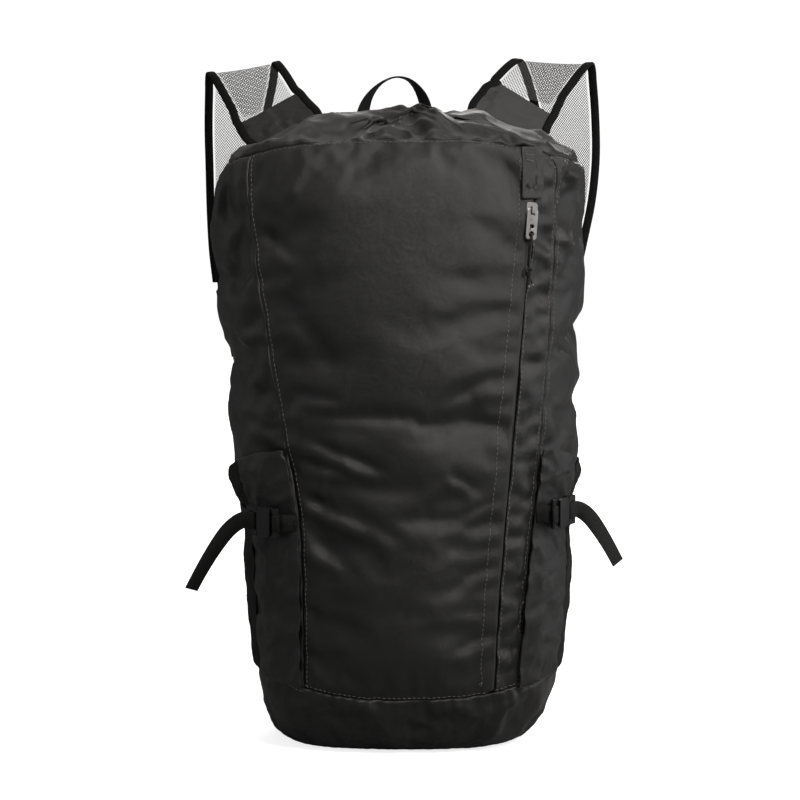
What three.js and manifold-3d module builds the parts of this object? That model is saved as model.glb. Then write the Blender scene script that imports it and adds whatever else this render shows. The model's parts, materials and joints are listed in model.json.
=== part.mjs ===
// A packable daypack, standing filled on its base: a hollow sewn body of light cloth panels, a front pocket
// zip with a metal pull, side pockets under buckled compression straps, mesh shoulder straps bound with
// tape, and a haul loop. Millimetres, +Z up, front facing -Y, origin under the middle of the whole thing.
import * as THREE from "three";
import { mergeVertices } from "three/addons/utils/BufferGeometryUtils.js";
import Module from "manifold-3d";

const wasm = await Module();
wasm.setup();

// Body
const BODY_HEIGHT = 462; // floor to the crown of the top panel
const BODY_WIDTH = 268; // widest place, at the shoulders
const FRONT_DEPTH = 88; // middle plane to the front, where it bulges most
const BACK_DEPTH = 72; // middle plane to the back
const FRONT_SQUARENESS = 2.9; // 2 is an ellipse, more is squarer
const BACK_SQUARENESS = 3.6;
const BACK_SEAM = 0.84; // share of the half width where a side panel meets the back
const CLOTH = 1.2; // wall of every cloth panel
const SEAM_GAP = 0.3; // left between sewn neighbours
const LAYER_GAP = 0.5; // left between a piece and the cloth it lies on

// Seams round the body: how far the top one lies below the crown and how high the base one lies above the
// floor, in front, at the sides and behind
const TOP_SEAM_DROP = { front: 16, side: 35, back: 7 };
const BASE_SEAM = { front: 42, side: 58, back: 52 };

// Front pocket zip
const ZIP_SLOT = 5; // open width between the two cloth edges
const ZIP_COIL = 3.8;
const ZIP_COIL_THICK = 1.6;
const ZIP_TAPE = 10;
const ZIP_TAPE_THICK = 0.8;
const ZIP_BELOW_TOP_SEAM = 9;
const ZIP_ABOVE_BASE_SEAM = 8;
const SLIDER_LENGTH = 11;
const SLIDER_WIDTH = 8.4;
const SLIDER_PLATE = 1.4;
const SLIDER_ROUNDING = 2.6;
const BRIDGE_WIDTH = 2.2;
const BRIDGE_THICK = 1.2;
const TAB_LENGTH = 21;
const TAB_WIDTH = 8.2;
const TAB_THICK = 1.4;
const TAB_BAR = 1.5; // cross bar of the tab, under the bridge
const TAB_EYE = 3.4;
const TAB_HOLE = 4.2; // where the cord goes through
const TAB_PLAY = 0.3;
const PULL_CORD = 1.4;
const PULL_CORD_DROP = 23; // hole to knot
const KNOT = 5.2;
const GARAGE_WIDTH = 15; // cloth hood over the zip's top end
const GARAGE_LENGTH = 36;
const GARAGE_GAP = 2.5; // slider's upper end to the hood

// Main zip, along the back edge of the top panel
const MAIN_SLIDER_ACROSS = 45; // of the slider's middle from the middle of the pack
const MAIN_ZIP_ENDS = 0.1; // share of the back panel at each end where the slot is closed

// Side pockets
const POCKET_HEIGHT = { front: 225, back: 203 };
const POCKET_SPLIT = 0.27; // share of the side under the cloth part; the rest is stretch knit
const POCKET_ENDS = 0.012; // share of the side left free at each end of a pocket
const KNIT_COLUMNS = 7;
const POCKET_MOUTH = 5.5; // how far the mouth stands off the side panel
const POCKET_BULGE = 2; // how much further the cloth stands off between the mouth and the strap
const POCKET_BELLY = 4; // how far it stands off below the strap

// Webbing and its hardware
const WEBBING = 12;
const WEBBING_THICK = 1.3;
const COMPRESSION_HEIGHT = { left: 173, right: 178 }; // middle of the compression straps
const BUCKLE_FROM_SEAM = { left: 23, right: 23.5 }; // front seam to the buckle's middle
const BUCKLE_LENGTH = 30;
const BUCKLE_WIDTH = 21;
const BUCKLE_THICK = 6.4;
const BUCKLE_WALL = 1.5;
const BUCKLE_BAR = 2.4;
const BUCKLE_SLOT = 3.4; // way through for the webbing
const BUCKLE_PLAY = 0.35;
const TAIL_LENGTH = { left: 64, right: 50 };
const TAIL_HEM = 10; // end of a tail, folded double
const ADJUSTER_LENGTH = 20;
const ADJUSTER_WIDTH = 17;

// Shoulder straps
const STRAP_REACH = 66; // how far they stand out behind the top of the back panel
const STRAP_RISE = 48; // arch above the back panel's top edge
const STRAP_DROP = 140; // lower end of the mesh below that edge
const STRAP_MESH = 1.6;
const MESH_EDGE_GAP = 0.8; // between the mesh and its binding
const BINDING_WIDTH = 6.5;
const BINDING_THICK = 0.7;
const STRAP_SEWN = 14; // length of strap sewn down on the back panel
const ANCHOR_HEIGHT = 78; // where the lower webbing is sewn to the back panel
const ANCHOR_SEWN = 16;
const ADJUSTER_DROP = 6; // mesh end to the adjuster
const ADJUSTER_TAIL = 34; // free webbing past the adjuster

// Haul loop
const LOOP_SPAN = 52;
const LOOP_RISE = 35;
const LOOP_WIDTH = 10;
const LOOP_THICK = 1.6;
const LOOP_STATIONS = 30;
const LOOP_OFFSET = -7; // middle of the loop from the middle of the pack

// Grid of the body: columns of each panel round the body, and rows up it
const COLUMNS = { front: 11, strip: 2, right: 7, back: 10, left: 7 };
const WALL_ROWS = 18;

// The filled body from floor to crown. height is a share of BODY_HEIGHT, width of half of BODY_WIDTH, front
// and back of their depths; middle is how far the section lies off centre, and left, zip and right how far
// the front's seams and zip lie from its middle, all shares of the half width at that height.
const SECTIONS = [
  { height: 0.0, width: 0.64, front: 0.61, back: 0.69, middle: 0, left: 0.62, zip: 0.56, right: 0.69 },
  { height: 0.013, width: 0.71, front: 0.71, back: 0.79, middle: 0, left: 0.62, zip: 0.56, right: 0.69 },
  { height: 0.035, width: 0.76, front: 0.8, back: 0.87, middle: 0.01, left: 0.64, zip: 0.55, right: 0.69 },
  { height: 0.07, width: 0.805, front: 0.88, back: 0.93, middle: 0.02, left: 0.655, zip: 0.545, right: 0.69 },
  { height: 0.12, width: 0.83, front: 0.95, back: 0.97, middle: 0.025, left: 0.664, zip: 0.543, right: 0.69 },
  { height: 0.24, width: 0.84, front: 1.0, back: 1.0, middle: 0.032, left: 0.665, zip: 0.546, right: 0.71 },
  { height: 0.39, width: 0.885, front: 1.0, back: 1.0, middle: 0.01, left: 0.628, zip: 0.583, right: 0.756 },
  { height: 0.54, width: 0.93, front: 0.97, back: 1.0, middle: 0, left: 0.702, zip: 0.609, right: 0.786 },
  { height: 0.69, width: 0.965, front: 0.91, back: 0.985, middle: -0.015, left: 0.75, zip: 0.648, right: 0.82 },
  { height: 0.845, width: 1.0, front: 0.82, back: 0.945, middle: -0.02, left: 0.807, zip: 0.686, right: 0.82 },
  { height: 0.93, width: 0.985, front: 0.73, back: 0.87, middle: 0, left: 0.847, zip: 0.684, right: 0.811 },
  { height: 1.0, width: 0.93, front: 0.64, back: 0.8, middle: 0, left: 0.86, zip: 0.69, right: 0.815 },
];

// Main dents (negative) and ridges of the cloth. along and up are shares of the panel, from its left edge as
// seen from outside and from its lower seam; tilt is degrees from level; length, width and depth are shares
// of the body's height.
const FOLDS = [
  { panel: "front", along: 0.07, up: 0.83, tilt: -35, length: 0.06, width: 0.03, depth: -0.01 },
  { panel: "front", along: 0.12, up: 0.6, tilt: 20, length: 0.09, width: 0.035, depth: -0.009 },
  { panel: "front", along: 0.14, up: 0.36, tilt: 12, length: 0.13, width: 0.028, depth: -0.013 },
  { panel: "front", along: 0.16, up: 0.28, tilt: -24, length: 0.12, width: 0.026, depth: -0.01 },
  { panel: "front", along: 0.78, up: 0.5, tilt: -28, length: 0.08, width: 0.03, depth: -0.009 },
  { panel: "front", along: 0.5, up: 0.62, tilt: 0, length: 0.3, width: 0.2, depth: 0.006 },
  { panel: "right", along: 0.3, up: 0.86, tilt: -40, length: 0.1, width: 0.035, depth: -0.014 },
  { panel: "right", along: 0.35, up: 0.66, tilt: 25, length: 0.09, width: 0.035, depth: -0.011 },
  { panel: "left", along: 0.72, up: 0.8, tilt: 30, length: 0.1, width: 0.035, depth: -0.014 },
  { panel: "left", along: 0.62, up: 0.6, tilt: -25, length: 0.09, width: 0.035, depth: -0.011 },
  { panel: "right", along: 0.8, up: 0.93, tilt: 90, length: 0.06, width: 0.05, depth: 0.016 },
  { panel: "left", along: 0.2, up: 0.87, tilt: 90, length: 0.07, width: 0.05, depth: 0.02 },
  { panel: "back", along: 0.5, up: 0.5, tilt: 0, length: 0.35, width: 0.22, depth: -0.008 },
];

// Gathers of the top panel: turn is degrees from the front seam's middle, anticlockwise from above; reach is
// the share of the way from the middle to the seam; width is in degrees; depth is a share of BODY_HEIGHT.
const TOP_FOLDS = [
  { turn: -48, reach: 0.72, width: 13, depth: -0.012 },
  { turn: -22, reach: 0.8, width: 9, depth: 0.007 },
  { turn: 14, reach: 0.75, width: 8, depth: -0.007 },
  { turn: 38, reach: 0.72, width: 10, depth: 0.011 },
  { turn: 62, reach: 0.7, width: 10, depth: -0.01 },
];

// Edges of each shoulder strap from its foot on the back panel, over the arch and down. Shares: x of half of
// BODY_WIDTH, back of STRAP_REACH behind the panel's top edge, rise of STRAP_RISE above it where positive
// and of STRAP_DROP below it where negative.
const STRAPS = {
  left: [
    { innerX: 0.46, outerX: 0.9, back: 0.13, innerRise: 0.16, outerRise: -0.1, skew: 0 },
    { innerX: 0.57, outerX: 0.98, back: 0.32, innerRise: 0.47, outerRise: 0.1, skew: 0 },
    { innerX: 0.66, outerX: 1.07, back: 0.5, innerRise: 0.84, outerRise: 0.54, skew: 0 },
    { innerX: 0.7, outerX: 1.125, back: 0.58, innerRise: 0.98, outerRise: 0.78, skew: 0 },
    { innerX: 0.715, outerX: 1.145, back: 0.68, innerRise: 1.0, outerRise: 0.81, skew: 0 },
    { innerX: 0.735, outerX: 1.155, back: 0.8, innerRise: 0.68, outerRise: 0.5, skew: 0 },
    { innerX: 0.775, outerX: 1.165, back: 0.92, innerRise: 0.2, outerRise: -0.02, skew: 0 },
    { innerX: 0.82, outerX: 1.165, back: 1.0, innerRise: -0.2, outerRise: -0.24, skew: 0 },
    { innerX: 0.88, outerX: 1.16, back: 0.99, innerRise: -0.46, outerRise: -0.49, skew: 0.05 },
    { innerX: 0.935, outerX: 1.145, back: 0.9, innerRise: -0.68, outerRise: -0.71, skew: 0.1 },
    { innerX: 0.985, outerX: 1.12, back: 0.78, innerRise: -0.86, outerRise: -0.88, skew: 0.14 },
  ],
  right: [
    { innerX: 0.37, outerX: 0.82, back: 0.13, innerRise: 0.3, outerRise: -0.03, skew: 0 },
    { innerX: 0.46, outerX: 0.91, back: 0.32, innerRise: 0.6, outerRise: 0.33, skew: 0 },
    { innerX: 0.56, outerX: 1.01, back: 0.5, innerRise: 0.9, outerRise: 0.72, skew: 0 },
    { innerX: 0.615, outerX: 1.075, back: 0.58, innerRise: 1.02, outerRise: 0.93, skew: 0 },
    { innerX: 0.645, outerX: 1.105, back: 0.68, innerRise: 1.03, outerRise: 0.97, skew: 0 },
    { innerX: 0.69, outerX: 1.125, back: 0.8, innerRise: 0.78, outerRise: 0.66, skew: 0 },
    { innerX: 0.745, outerX: 1.145, back: 0.92, innerRise: 0.3, outerRise: 0.16, skew: 0 },
    { innerX: 0.8, outerX: 1.155, back: 1.0, innerRise: -0.14, outerRise: -0.18, skew: 0 },
    { innerX: 0.845, outerX: 1.135, back: 0.99, innerRise: -0.38, outerRise: -0.41, skew: 0.05 },
    { innerX: 0.88, outerX: 1.09, back: 0.9, innerRise: -0.6, outerRise: -0.62, skew: 0.1 },
    { innerX: 0.905, outerX: 1.04, back: 0.78, innerRise: -0.8, outerRise: -0.82, skew: 0.14 },
  ],
};
const STRAP_STATIONS = 30; // along the mesh

// Free webbing tails from the buckle: out and down are shares of the tail's length, twist is degrees.
const TAIL_PATH = [
  { out: 0.0, down: 0.0, twist: 0 },
  { out: 0.07, down: 0.05, twist: 10 },
  { out: 0.16, down: 0.16, twist: 20 },
  { out: 0.29, down: 0.34, twist: 30 },
  { out: 0.43, down: 0.57, twist: 38 },
  { out: 0.56, down: 0.81, twist: 42 },
];

const group = new THREE.Group();

const CLOTH_BLACK = new THREE.MeshStandardMaterial({ color: 0x2b2b2d, roughness: 0.45, metalness: 0 });
const KNIT_BLACK = new THREE.MeshStandardMaterial({ color: 0x161617, roughness: 0.9, metalness: 0 });
const MESH_GREY = new THREE.MeshStandardMaterial({ color: 0x8c8a86, roughness: 0.8, metalness: 0 });
const WEBBING_BLACK = new THREE.MeshStandardMaterial({ color: 0x141414, roughness: 0.8, metalness: 0 });
const PLASTIC_BLACK = new THREE.MeshStandardMaterial({ color: 0x101011, roughness: 0.35, metalness: 0 });
const METAL_GREY = new THREE.MeshStandardMaterial({ color: 0xb9bbbd, roughness: 0.3, metalness: 1 });

const point = (x, y, z) => new THREE.Vector3(x, y, z);
const mix = (a, b, share) => a + (b - a) * share;
const mixPoints = (a, b, share) => a.clone().lerp(b, share);
const steps = (count) => Array.from({ length: count + 1 }, (_, i) => i / count);
const smooth = (from, to, value) => THREE.MathUtils.smoothstep(value, from, to);

// Adds a named piece made of one geometry.
function add(name, geometry, material, parent = group) {
  const mesh = new THREE.Mesh(geometry, material);
  mesh.name = name;
  parent.add(mesh);
  return mesh;
}

// Geometry from a list of triangles, each three points, turned to face outwards.
function solidFrom(triangles) {
  const kept = triangles.filter(([a, b, c]) => a !== b && b !== c && a !== c);
  const volume = kept.reduce((sum, [a, b, c]) => sum + a.dot(b.clone().cross(c)), 0);
  const turned = kept.map(([a, b, c]) => (volume > 0 ? [a, b, c] : [a, c, b]));
  const coords = turned.flat().flatMap((p) => [p.x, p.y, p.z]);
  const geometry = new THREE.BufferGeometry();
  geometry.setAttribute("position", new THREE.Float32BufferAttribute(coords, 3));
  geometry.computeVertexNormals();
  return geometry;
}

// Two triangles that fill a, b, c, d.
const quad = (a, b, c, d) => [[a, b, c], [a, c, d]];

// A wall between two grids of points, closed at its four rims.
function wall(outer, inner) {
  const rows = outer.length - 1;
  const columns = outer[0].length - 1;
  const triangles = [];
  for (let i = 0; i < rows; i++) {
    for (let j = 0; j < columns; j++) {
      triangles.push(...quad(outer[i][j], outer[i][j + 1], outer[i + 1][j + 1], outer[i + 1][j]));
      triangles.push(...quad(inner[i][j], inner[i + 1][j], inner[i + 1][j + 1], inner[i][j + 1]));
    }
  }
  for (let j = 0; j < columns; j++) {
    triangles.push(...quad(outer[0][j + 1], outer[0][j], inner[0][j], inner[0][j + 1]));
    triangles.push(...quad(outer[rows][j], outer[rows][j + 1], inner[rows][j + 1], inner[rows][j]));
  }
  for (let i = 0; i < rows; i++) {
    const last = columns;
    triangles.push(...quad(outer[i][0], outer[i + 1][0], inner[i + 1][0], inner[i][0]));
    triangles.push(...quad(outer[i + 1][last], outer[i][last], inner[i][last], inner[i + 1][last]));
  }
  return solidFrom(triangles);
}

// A solid through closed rings of equally many points, closed by a fan at each end.
function loft(rings) {
  const triangles = [];
  const count = rings[0].length;
  for (let i = 0; i + 1 < rings.length; i++) {
    for (let j = 0; j < count; j++) {
      const k = (j + 1) % count;
      triangles.push(...quad(rings[i][j], rings[i][k], rings[i + 1][k], rings[i + 1][j]));
    }
  }
  const cap = (ring, turned) => {
    const middle = ring.reduce((sum, p) => sum.add(p), point(0, 0, 0)).divideScalar(count);
    ring.forEach((p, j) => {
      const q = ring[(j + 1) % count];
      triangles.push(turned ? [middle, q, p] : [middle, p, q]);
    });
  };
  cap(rings[0], true);
  cap(rings[rings.length - 1], false);
  return solidFrom(triangles);
}

// A solid bar whose section, a list of [across, through] places, is set at each station of a route.
function sweep(stations, sectionAtStation) {
  const rings = stations.map((station, i) =>
    sectionAtStation(i / (stations.length - 1)).map(([across, through]) =>
      station.place.clone().addScaledVector(station.across, across)
        .addScaledVector(station.through, through)));
  return loft(rings);
}

const rectangle = (width, thick) => [
  [-width / 2, -thick / 2], [width / 2, -thick / 2], [width / 2, thick / 2], [-width / 2, thick / 2]];

// Stations along a list of places, each with the direction of its width.
function stationsAlong(places, widths) {
  return places.map((place, i) => {
    const next = places[Math.min(i + 1, places.length - 1)];
    const along = next.clone().sub(places[Math.max(i - 1, 0)]).normalize();
    const across = widths[i].clone().addScaledVector(along, -widths[i].dot(along)).normalize();
    return { place, across, through: along.clone().cross(across) };
  });
}

// Closed solid of manifold-3d from a geometry, and back.
function toManifold(geometry) {
  const bare = geometry.clone();
  bare.deleteAttribute("normal");
  bare.deleteAttribute("uv");
  const merged = mergeVertices(bare, 1e-3);
  const vertProperties = merged.attributes.position.array;
  const triVerts = new Uint32Array(merged.index.array);
  return new wasm.Manifold(new wasm.Mesh({ numProp: 3, vertProperties, triVerts }));
}

function fromManifold(solid) {
  const mesh = solid.getMesh();
  const geometry = new THREE.BufferGeometry();
  geometry.setAttribute("position", new THREE.BufferAttribute(new Float32Array(mesh.vertProperties), 3));
  geometry.setIndex(new THREE.BufferAttribute(new Uint32Array(mesh.triVerts), 1));
  geometry.computeVertexNormals();
  return geometry;
}

// A box as a closed solid, by its middle and its three sizes.
function block(x, y, z, sizeX, sizeY, sizeZ) {
  return toManifold(new THREE.BoxGeometry(sizeX, sizeY, sizeZ).translate(x, y, z));
}

// A flat plate of a 2D shape, its faces at two heights.
function plate(shape, low, high, curveSegments = 4) {
  const flat = { depth: high - low, bevelEnabled: false, curveSegments };
  return toManifold(new THREE.ExtrudeGeometry(shape, flat).translate(0, 0, low));
}

// Outline of a rectangle with rounded corners, from its corners' places.
function roundedShape(left, bottom, right, top, radius) {
  const shape = new THREE.Shape();
  shape.moveTo(left + radius, bottom);
  shape.lineTo(right - radius, bottom);
  shape.absarc(right - radius, bottom + radius, radius, -Math.PI / 2, 0);
  shape.lineTo(right, top - radius);
  shape.absarc(right - radius, top - radius, radius, 0, Math.PI / 2);
  shape.lineTo(left + radius, top);
  shape.absarc(left + radius, top - radius, radius, Math.PI / 2, Math.PI);
  shape.lineTo(left, bottom + radius);
  shape.absarc(left + radius, bottom + radius, radius, Math.PI, Math.PI * 1.5);
  return shape;
}

// Value of one column of SECTIONS at a share of the height, on a smooth curve through its rows.
function sectionValue(column, share) {
  const last = SECTIONS.length - 1;
  const i = Math.min(Math.max(SECTIONS.findIndex((row) => row.height >= share) - 1, 0), last - 1);
  const [a, b] = [SECTIONS[i], SECTIONS[i + 1]];
  const slopeAt = (k) => {
    const [before, after] = [SECTIONS[Math.max(k - 1, 0)], SECTIONS[Math.min(k + 1, last)]];
    return (after[column] - before[column]) / (after.height - before.height);
  };
  const span = b.height - a.height;
  const t = (share - a.height) / span;
  const rise = 3 * t * t - 2 * t * t * t;
  const bow = slopeAt(i) * t * (1 - t) ** 2 - slopeAt(i + 1) * t * t * (1 - t);
  return mix(a[column], b[column], rise) + span * bow;
}

function sectionAt(z) {
  const share = THREE.MathUtils.clamp(z / BODY_HEIGHT, 0, 1);
  const half = (BODY_WIDTH / 2) * sectionValue("width", share);
  const middle = half * sectionValue("middle", share);
  return {
    half,
    middle,
    front: FRONT_DEPTH * sectionValue("front", share),
    back: BACK_DEPTH * sectionValue("back", share),
    leftSeam: middle - half * sectionValue("left", share),
    zip: middle + half * sectionValue("zip", share),
    rightSeam: middle + half * sectionValue("right", share),
    backSeam: half * BACK_SEAM,
  };
}

// Depth of the front or the back of a section at a place across it.
function depthAt(section, x, isFront) {
  const power = isFront ? FRONT_SQUARENESS : BACK_SQUARENESS;
  const share = (1 - Math.min(Math.abs(x - section.middle) / section.half, 1) ** power) ** (1 / power);
  return isFront ? -section.front * share : section.back * share;
}

// A place round the corner of a section, from its front seam (0) to its back seam (1), by length walked.
function cornerPoint(section, side, share, z) {
  const sign = side === "right" ? 1 : -1;
  const seam = sign * ((side === "right" ? section.rightSeam : section.leftSeam) - section.middle);
  const from = -Math.acos((seam / section.half) ** (FRONT_SQUARENESS / 2));
  const to = Math.acos((section.backSeam / section.half) ** (BACK_SQUARENESS / 2));
  const walk = steps(40).map((s) => {
    const angle = mix(from, to, s);
    const power = 2 / (angle < 0 ? FRONT_SQUARENESS : BACK_SQUARENESS);
    const depth = angle < 0 ? -section.front : section.back;
    const x = section.middle + sign * section.half * Math.cos(angle) ** power;
    return point(x, depth * Math.abs(Math.sin(angle)) ** power, z);
  });
  const lengths = [0];
  walk.slice(1).forEach((p, i) => lengths.push(lengths[i] + p.distanceTo(walk[i])));
  const target = THREE.MathUtils.clamp(share, 0, 1) * lengths[lengths.length - 1];
  const i = Math.max(lengths.findIndex((length) => length >= target), 1);
  return mixPoints(walk[i - 1], walk[i], (target - lengths[i - 1]) / (lengths[i] - lengths[i - 1]));
}

// A place on the smooth body without folds. share runs from a panel's left edge to its right edge, seen from
// outside the body.
function smoothPoint(panel, share, z) {
  const section = sectionAt(z);
  if (panel === "right") return cornerPoint(section, "right", share, z);
  if (panel === "left") return cornerPoint(section, "left", 1 - share, z);
  const edges = {
    front: [section.leftSeam, section.zip - ZIP_SLOT / 2],
    zip: [section.zip - ZIP_SLOT / 2, section.zip + ZIP_SLOT / 2],
    strip: [section.zip + ZIP_SLOT / 2, section.rightSeam],
    back: [section.middle + section.backSeam, section.middle - section.backSeam],
  }[panel];
  const x = mix(edges[0], edges[1], share);
  return point(x, depthAt(section, x, panel !== "back"), z);
}

// Outward direction of the smooth body.
function normalAt(panel, share, z) {
  const step = 0.02;
  const [left, right] = [Math.max(share - step, 0), Math.min(share + step, 1)];
  const across = smoothPoint(panel, right, z).sub(smoothPoint(panel, left, z));
  const up = smoothPoint(panel, share, z + 1).sub(smoothPoint(panel, share, Math.max(z - 1, 0)));
  return across.cross(up).normalize();
}

// How far the folds of a panel move its cloth outwards.
function foldHeight(panel, share, up) {
  return FOLDS.filter((fold) => fold.panel === panel).reduce((sum, fold) => {
    const level = BODY_HEIGHT * fold.up;
    const width = smoothPoint(panel, 0, level).distanceTo(smoothPoint(panel, 1, level));
    const dx = (share - fold.along) * width;
    const dz = (up - fold.up) * BODY_HEIGHT;
    const tilt = THREE.MathUtils.degToRad(fold.tilt);
    const lengthwise = (dx * Math.cos(tilt) + dz * Math.sin(tilt)) / (fold.length * BODY_HEIGHT);
    const sideways = (dz * Math.cos(tilt) - dx * Math.sin(tilt)) / (fold.width * BODY_HEIGHT);
    return sum + fold.depth * BODY_HEIGHT * Math.exp(-(lengthwise ** 2) - sideways ** 2);
  }, 0);
}

// Height of the top or base seam at a place round the body.
function seamHeight(seam, panel, share, sharpness) {
  const level = seam.side;
  const place = smoothPoint(panel, share, level);
  const middle = place.y < 0 ? seam.front : seam.back;
  const section = sectionAt(level);
  const toSide = Math.min(Math.abs(place.x - section.middle) / section.half, 1) ** sharpness;
  return mix(middle, seam.side, toSide);
}
const TOP_SEAM = {
  front: BODY_HEIGHT - TOP_SEAM_DROP.front,
  side: BODY_HEIGHT - TOP_SEAM_DROP.side,
  back: BODY_HEIGHT - TOP_SEAM_DROP.back,
};
const topSeamAt = (panel, share) => seamHeight(TOP_SEAM, panel, share, 3);
const baseSeamAt = (panel, share) => seamHeight(BASE_SEAM, panel, share, 2);

// A place on the body's cloth, up from the base seam (0) to the top seam (1), raised off it by lift. Folds
// fade out at the seams.
function clothPoint(panel, share, up, lift = 0) {
  const z = mix(baseSeamAt(panel, share), topSeamAt(panel, share), up);
  const fadeUp = smooth(0, 0.06, up) * smooth(0, 0.06, 1 - up);
  const fade = fadeUp * smooth(0, 0.08, share) * smooth(0, 0.08, 1 - share);
  const out = lift + fade * foldHeight(panel, share, up);
  return smoothPoint(panel, share, z).addScaledVector(normalAt(panel, share, z), out);
}

// Wall panels, each a grid between its two seams with its edges drawn in by half of the seam's gap.
function wallPanel(name, panel) {
  const width = smoothPoint(panel, 0, TOP_SEAM.side).distanceTo(smoothPoint(panel, 1, TOP_SEAM.side));
  const trim = SEAM_GAP / 2 / width;
  const rise = SEAM_GAP / 2 / (TOP_SEAM.side - BASE_SEAM.side);
  const mitre = CLOTH / (TOP_SEAM.side - BASE_SEAM.side);
  const grid = (lift, top) => steps(WALL_ROWS).map((up) => steps(COLUMNS[panel]).map((share) =>
    clothPoint(panel, mix(trim, 1 - trim, share), mix(rise, top, up), lift)));
  add(name, wall(grid(0, 1 - rise), grid(-CLOTH, 1 - rise - mitre)), CLOTH_BLACK);
}
wallPanel("front_panel", "front");
wallPanel("front_strip", "strip");
wallPanel("side_panel_right", "right");
wallPanel("back_panel", "back");
wallPanel("side_panel_left", "left");

// Every place round the body, panel by panel, as the top and base panels meet them.
const AROUND = ["front", "strip", "right", "back", "left"].flatMap((panel) => {
  const firstColumn = panel === "front" || panel === "strip" ? 0 : 1;
  return steps(COLUMNS[panel]).slice(firstColumn).map((share) => ({ panel, share }));
});

// Base panel: a flat bottom with a rounded edge, drawn up to the base seam all round.
const MIDDLE_DEPTH = (BACK_DEPTH - FRONT_DEPTH) * 0.3;

function basePanel() {
  const rows = [0, 0.08, 0.25, 0.5, 0.78, 1];
  const ringAt = (row, lift) => AROUND.map(({ panel, share }) => {
    const z = row * (baseSeamAt(panel, share) - SEAM_GAP / 2);
    const normal = row === 0 ? normalAt(panel, share, 1) : normalAt(panel, share, z);
    return smoothPoint(panel, share, z).addScaledVector(normal, lift);
  });
  const flatRing = (size, z) => ringAt(0, 0).map((p) => point(p.x * size, mix(MIDDLE_DEPTH, p.y, size), z));
  const outer = [flatRing(0.45, 0), ...rows.map((row) => ringAt(row, 0))];
  const wallRings = rows.slice(1).map((row) => ringAt(row, -CLOTH));
  const inner = [flatRing(0.44, CLOTH), flatRing(0.975, CLOTH), ...wallRings];
  add("base_panel", loft([...outer, ...inner.reverse()]), CLOTH_BLACK);
}
basePanel();

// Top panel: a low dome inside the top seam. Behind, it stops short of the back panel to leave the main zip's
// slot.
function topFoldHeight(x, y, reach) {
  const turn = THREE.MathUtils.radToDeg(Math.atan2(x, -(y - MIDDLE_DEPTH)));
  return TOP_FOLDS.reduce((sum, fold) => {
    const sideways = (turn - fold.turn) / fold.width;
    const lengthwise = (reach - fold.reach) / 0.22;
    return sum + fold.depth * BODY_HEIGHT * Math.exp(-(sideways ** 2) - lengthwise ** 2);
  }, 0);
}

const DOME = 2.3; // power of the dome's curve from its middle to the seam

function domePoint(panel, share, reach, drop = 0) {
  const z = topSeamAt(panel, share);
  const edge = smoothPoint(panel, share, z);
  const x = edge.x * reach;
  const y = mix(MIDDLE_DEPTH, edge.y, reach);
  const height = mix(BODY_HEIGHT, z, reach ** DOME) + topFoldHeight(x, y, reach) * (1 - reach ** 8);
  return point(x, y, height - drop);
}

const mainZipOpen = (panel, share) =>
  panel === "back" ? ZIP_SLOT * smooth(0, MAIN_ZIP_ENDS, share) * smooth(0, MAIN_ZIP_ENDS, 1 - share) : 0;

function topPanel() {
  const reaches = [1, 0.8, 0.56, 0.3]; // rings from the seam to the middle
  const ringAt = (reach, drop) => AROUND.map(({ panel, share }) => {
    const edge = domePoint(panel, share, 1);
    const size = Math.hypot(edge.x, edge.y - MIDDLE_DEPTH);
    const draw = (SEAM_GAP / 2 + mainZipOpen(panel, share) + drop * 0.9) / size;
    return domePoint(panel, share, reach * (1 - draw), drop);
  });
  const outer = reaches.slice().reverse().map((reach) => ringAt(reach, 0));
  const inner = reaches.map((reach) => ringAt(reach, CLOTH));
  add("top_panel", loft([...outer, ...inner]), CLOTH_BLACK);
}
topPanel();

// Frame standing on the cloth: x across, y up along the cloth, z away from it.
function clothFrame(place, normal, up) {
  const across = up.clone().cross(normal).normalize();
  const along = normal.clone().cross(across).normalize();
  const frame = new THREE.Group();
  frame.position.copy(place);
  frame.setRotationFromMatrix(new THREE.Matrix4().makeBasis(across, along, normal));
  group.add(frame);
  return frame;
}

// Section of a zip: its tape with the coil standing on the middle, by across and through.
const TAPE_TOP = -(CLOTH + LAYER_GAP);
const ZIP_SECTION = [
  [-ZIP_TAPE / 2, TAPE_TOP - ZIP_TAPE_THICK], [ZIP_TAPE / 2, TAPE_TOP - ZIP_TAPE_THICK],
  [ZIP_TAPE / 2, TAPE_TOP], [ZIP_COIL / 2, TAPE_TOP],
  [ZIP_COIL / 2, TAPE_TOP + ZIP_COIL_THICK], [-ZIP_COIL / 2, TAPE_TOP + ZIP_COIL_THICK],
  [-ZIP_COIL / 2, TAPE_TOP], [-ZIP_TAPE / 2, TAPE_TOP]];

// A place beside the middle of the front zip, raised off the cloth by lift.
function zipPoint(across, z, lift) {
  const share = 0.5 + across / ZIP_SLOT;
  return smoothPoint("zip", share, z).addScaledVector(normalAt("zip", 0.5, z), lift);
}

const COIL_TOP = TAPE_TOP + ZIP_COIL_THICK;
const ZIP_BOTTOM = BASE_SEAM.front + ZIP_ABOVE_BASE_SEAM;
const ZIP_TOP = TOP_SEAM.front - ZIP_BELOW_TOP_SEAM;
const GARAGE_BOTTOM = ZIP_TOP - GARAGE_LENGTH;
const SLIDER_HEIGHT = GARAGE_BOTTOM - GARAGE_GAP - SLIDER_LENGTH / 2; // of the slider's middle
const ZIP_STATIONS = 20;
const zipRings = steps(ZIP_STATIONS).map((share) => mix(ZIP_BOTTOM, ZIP_TOP, share)).map((z) =>
  ZIP_SECTION.map(([across, through]) => zipPoint(across, z, through)));
add("front_zip_tape", loft(zipRings), CLOTH_BLACK);

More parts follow.
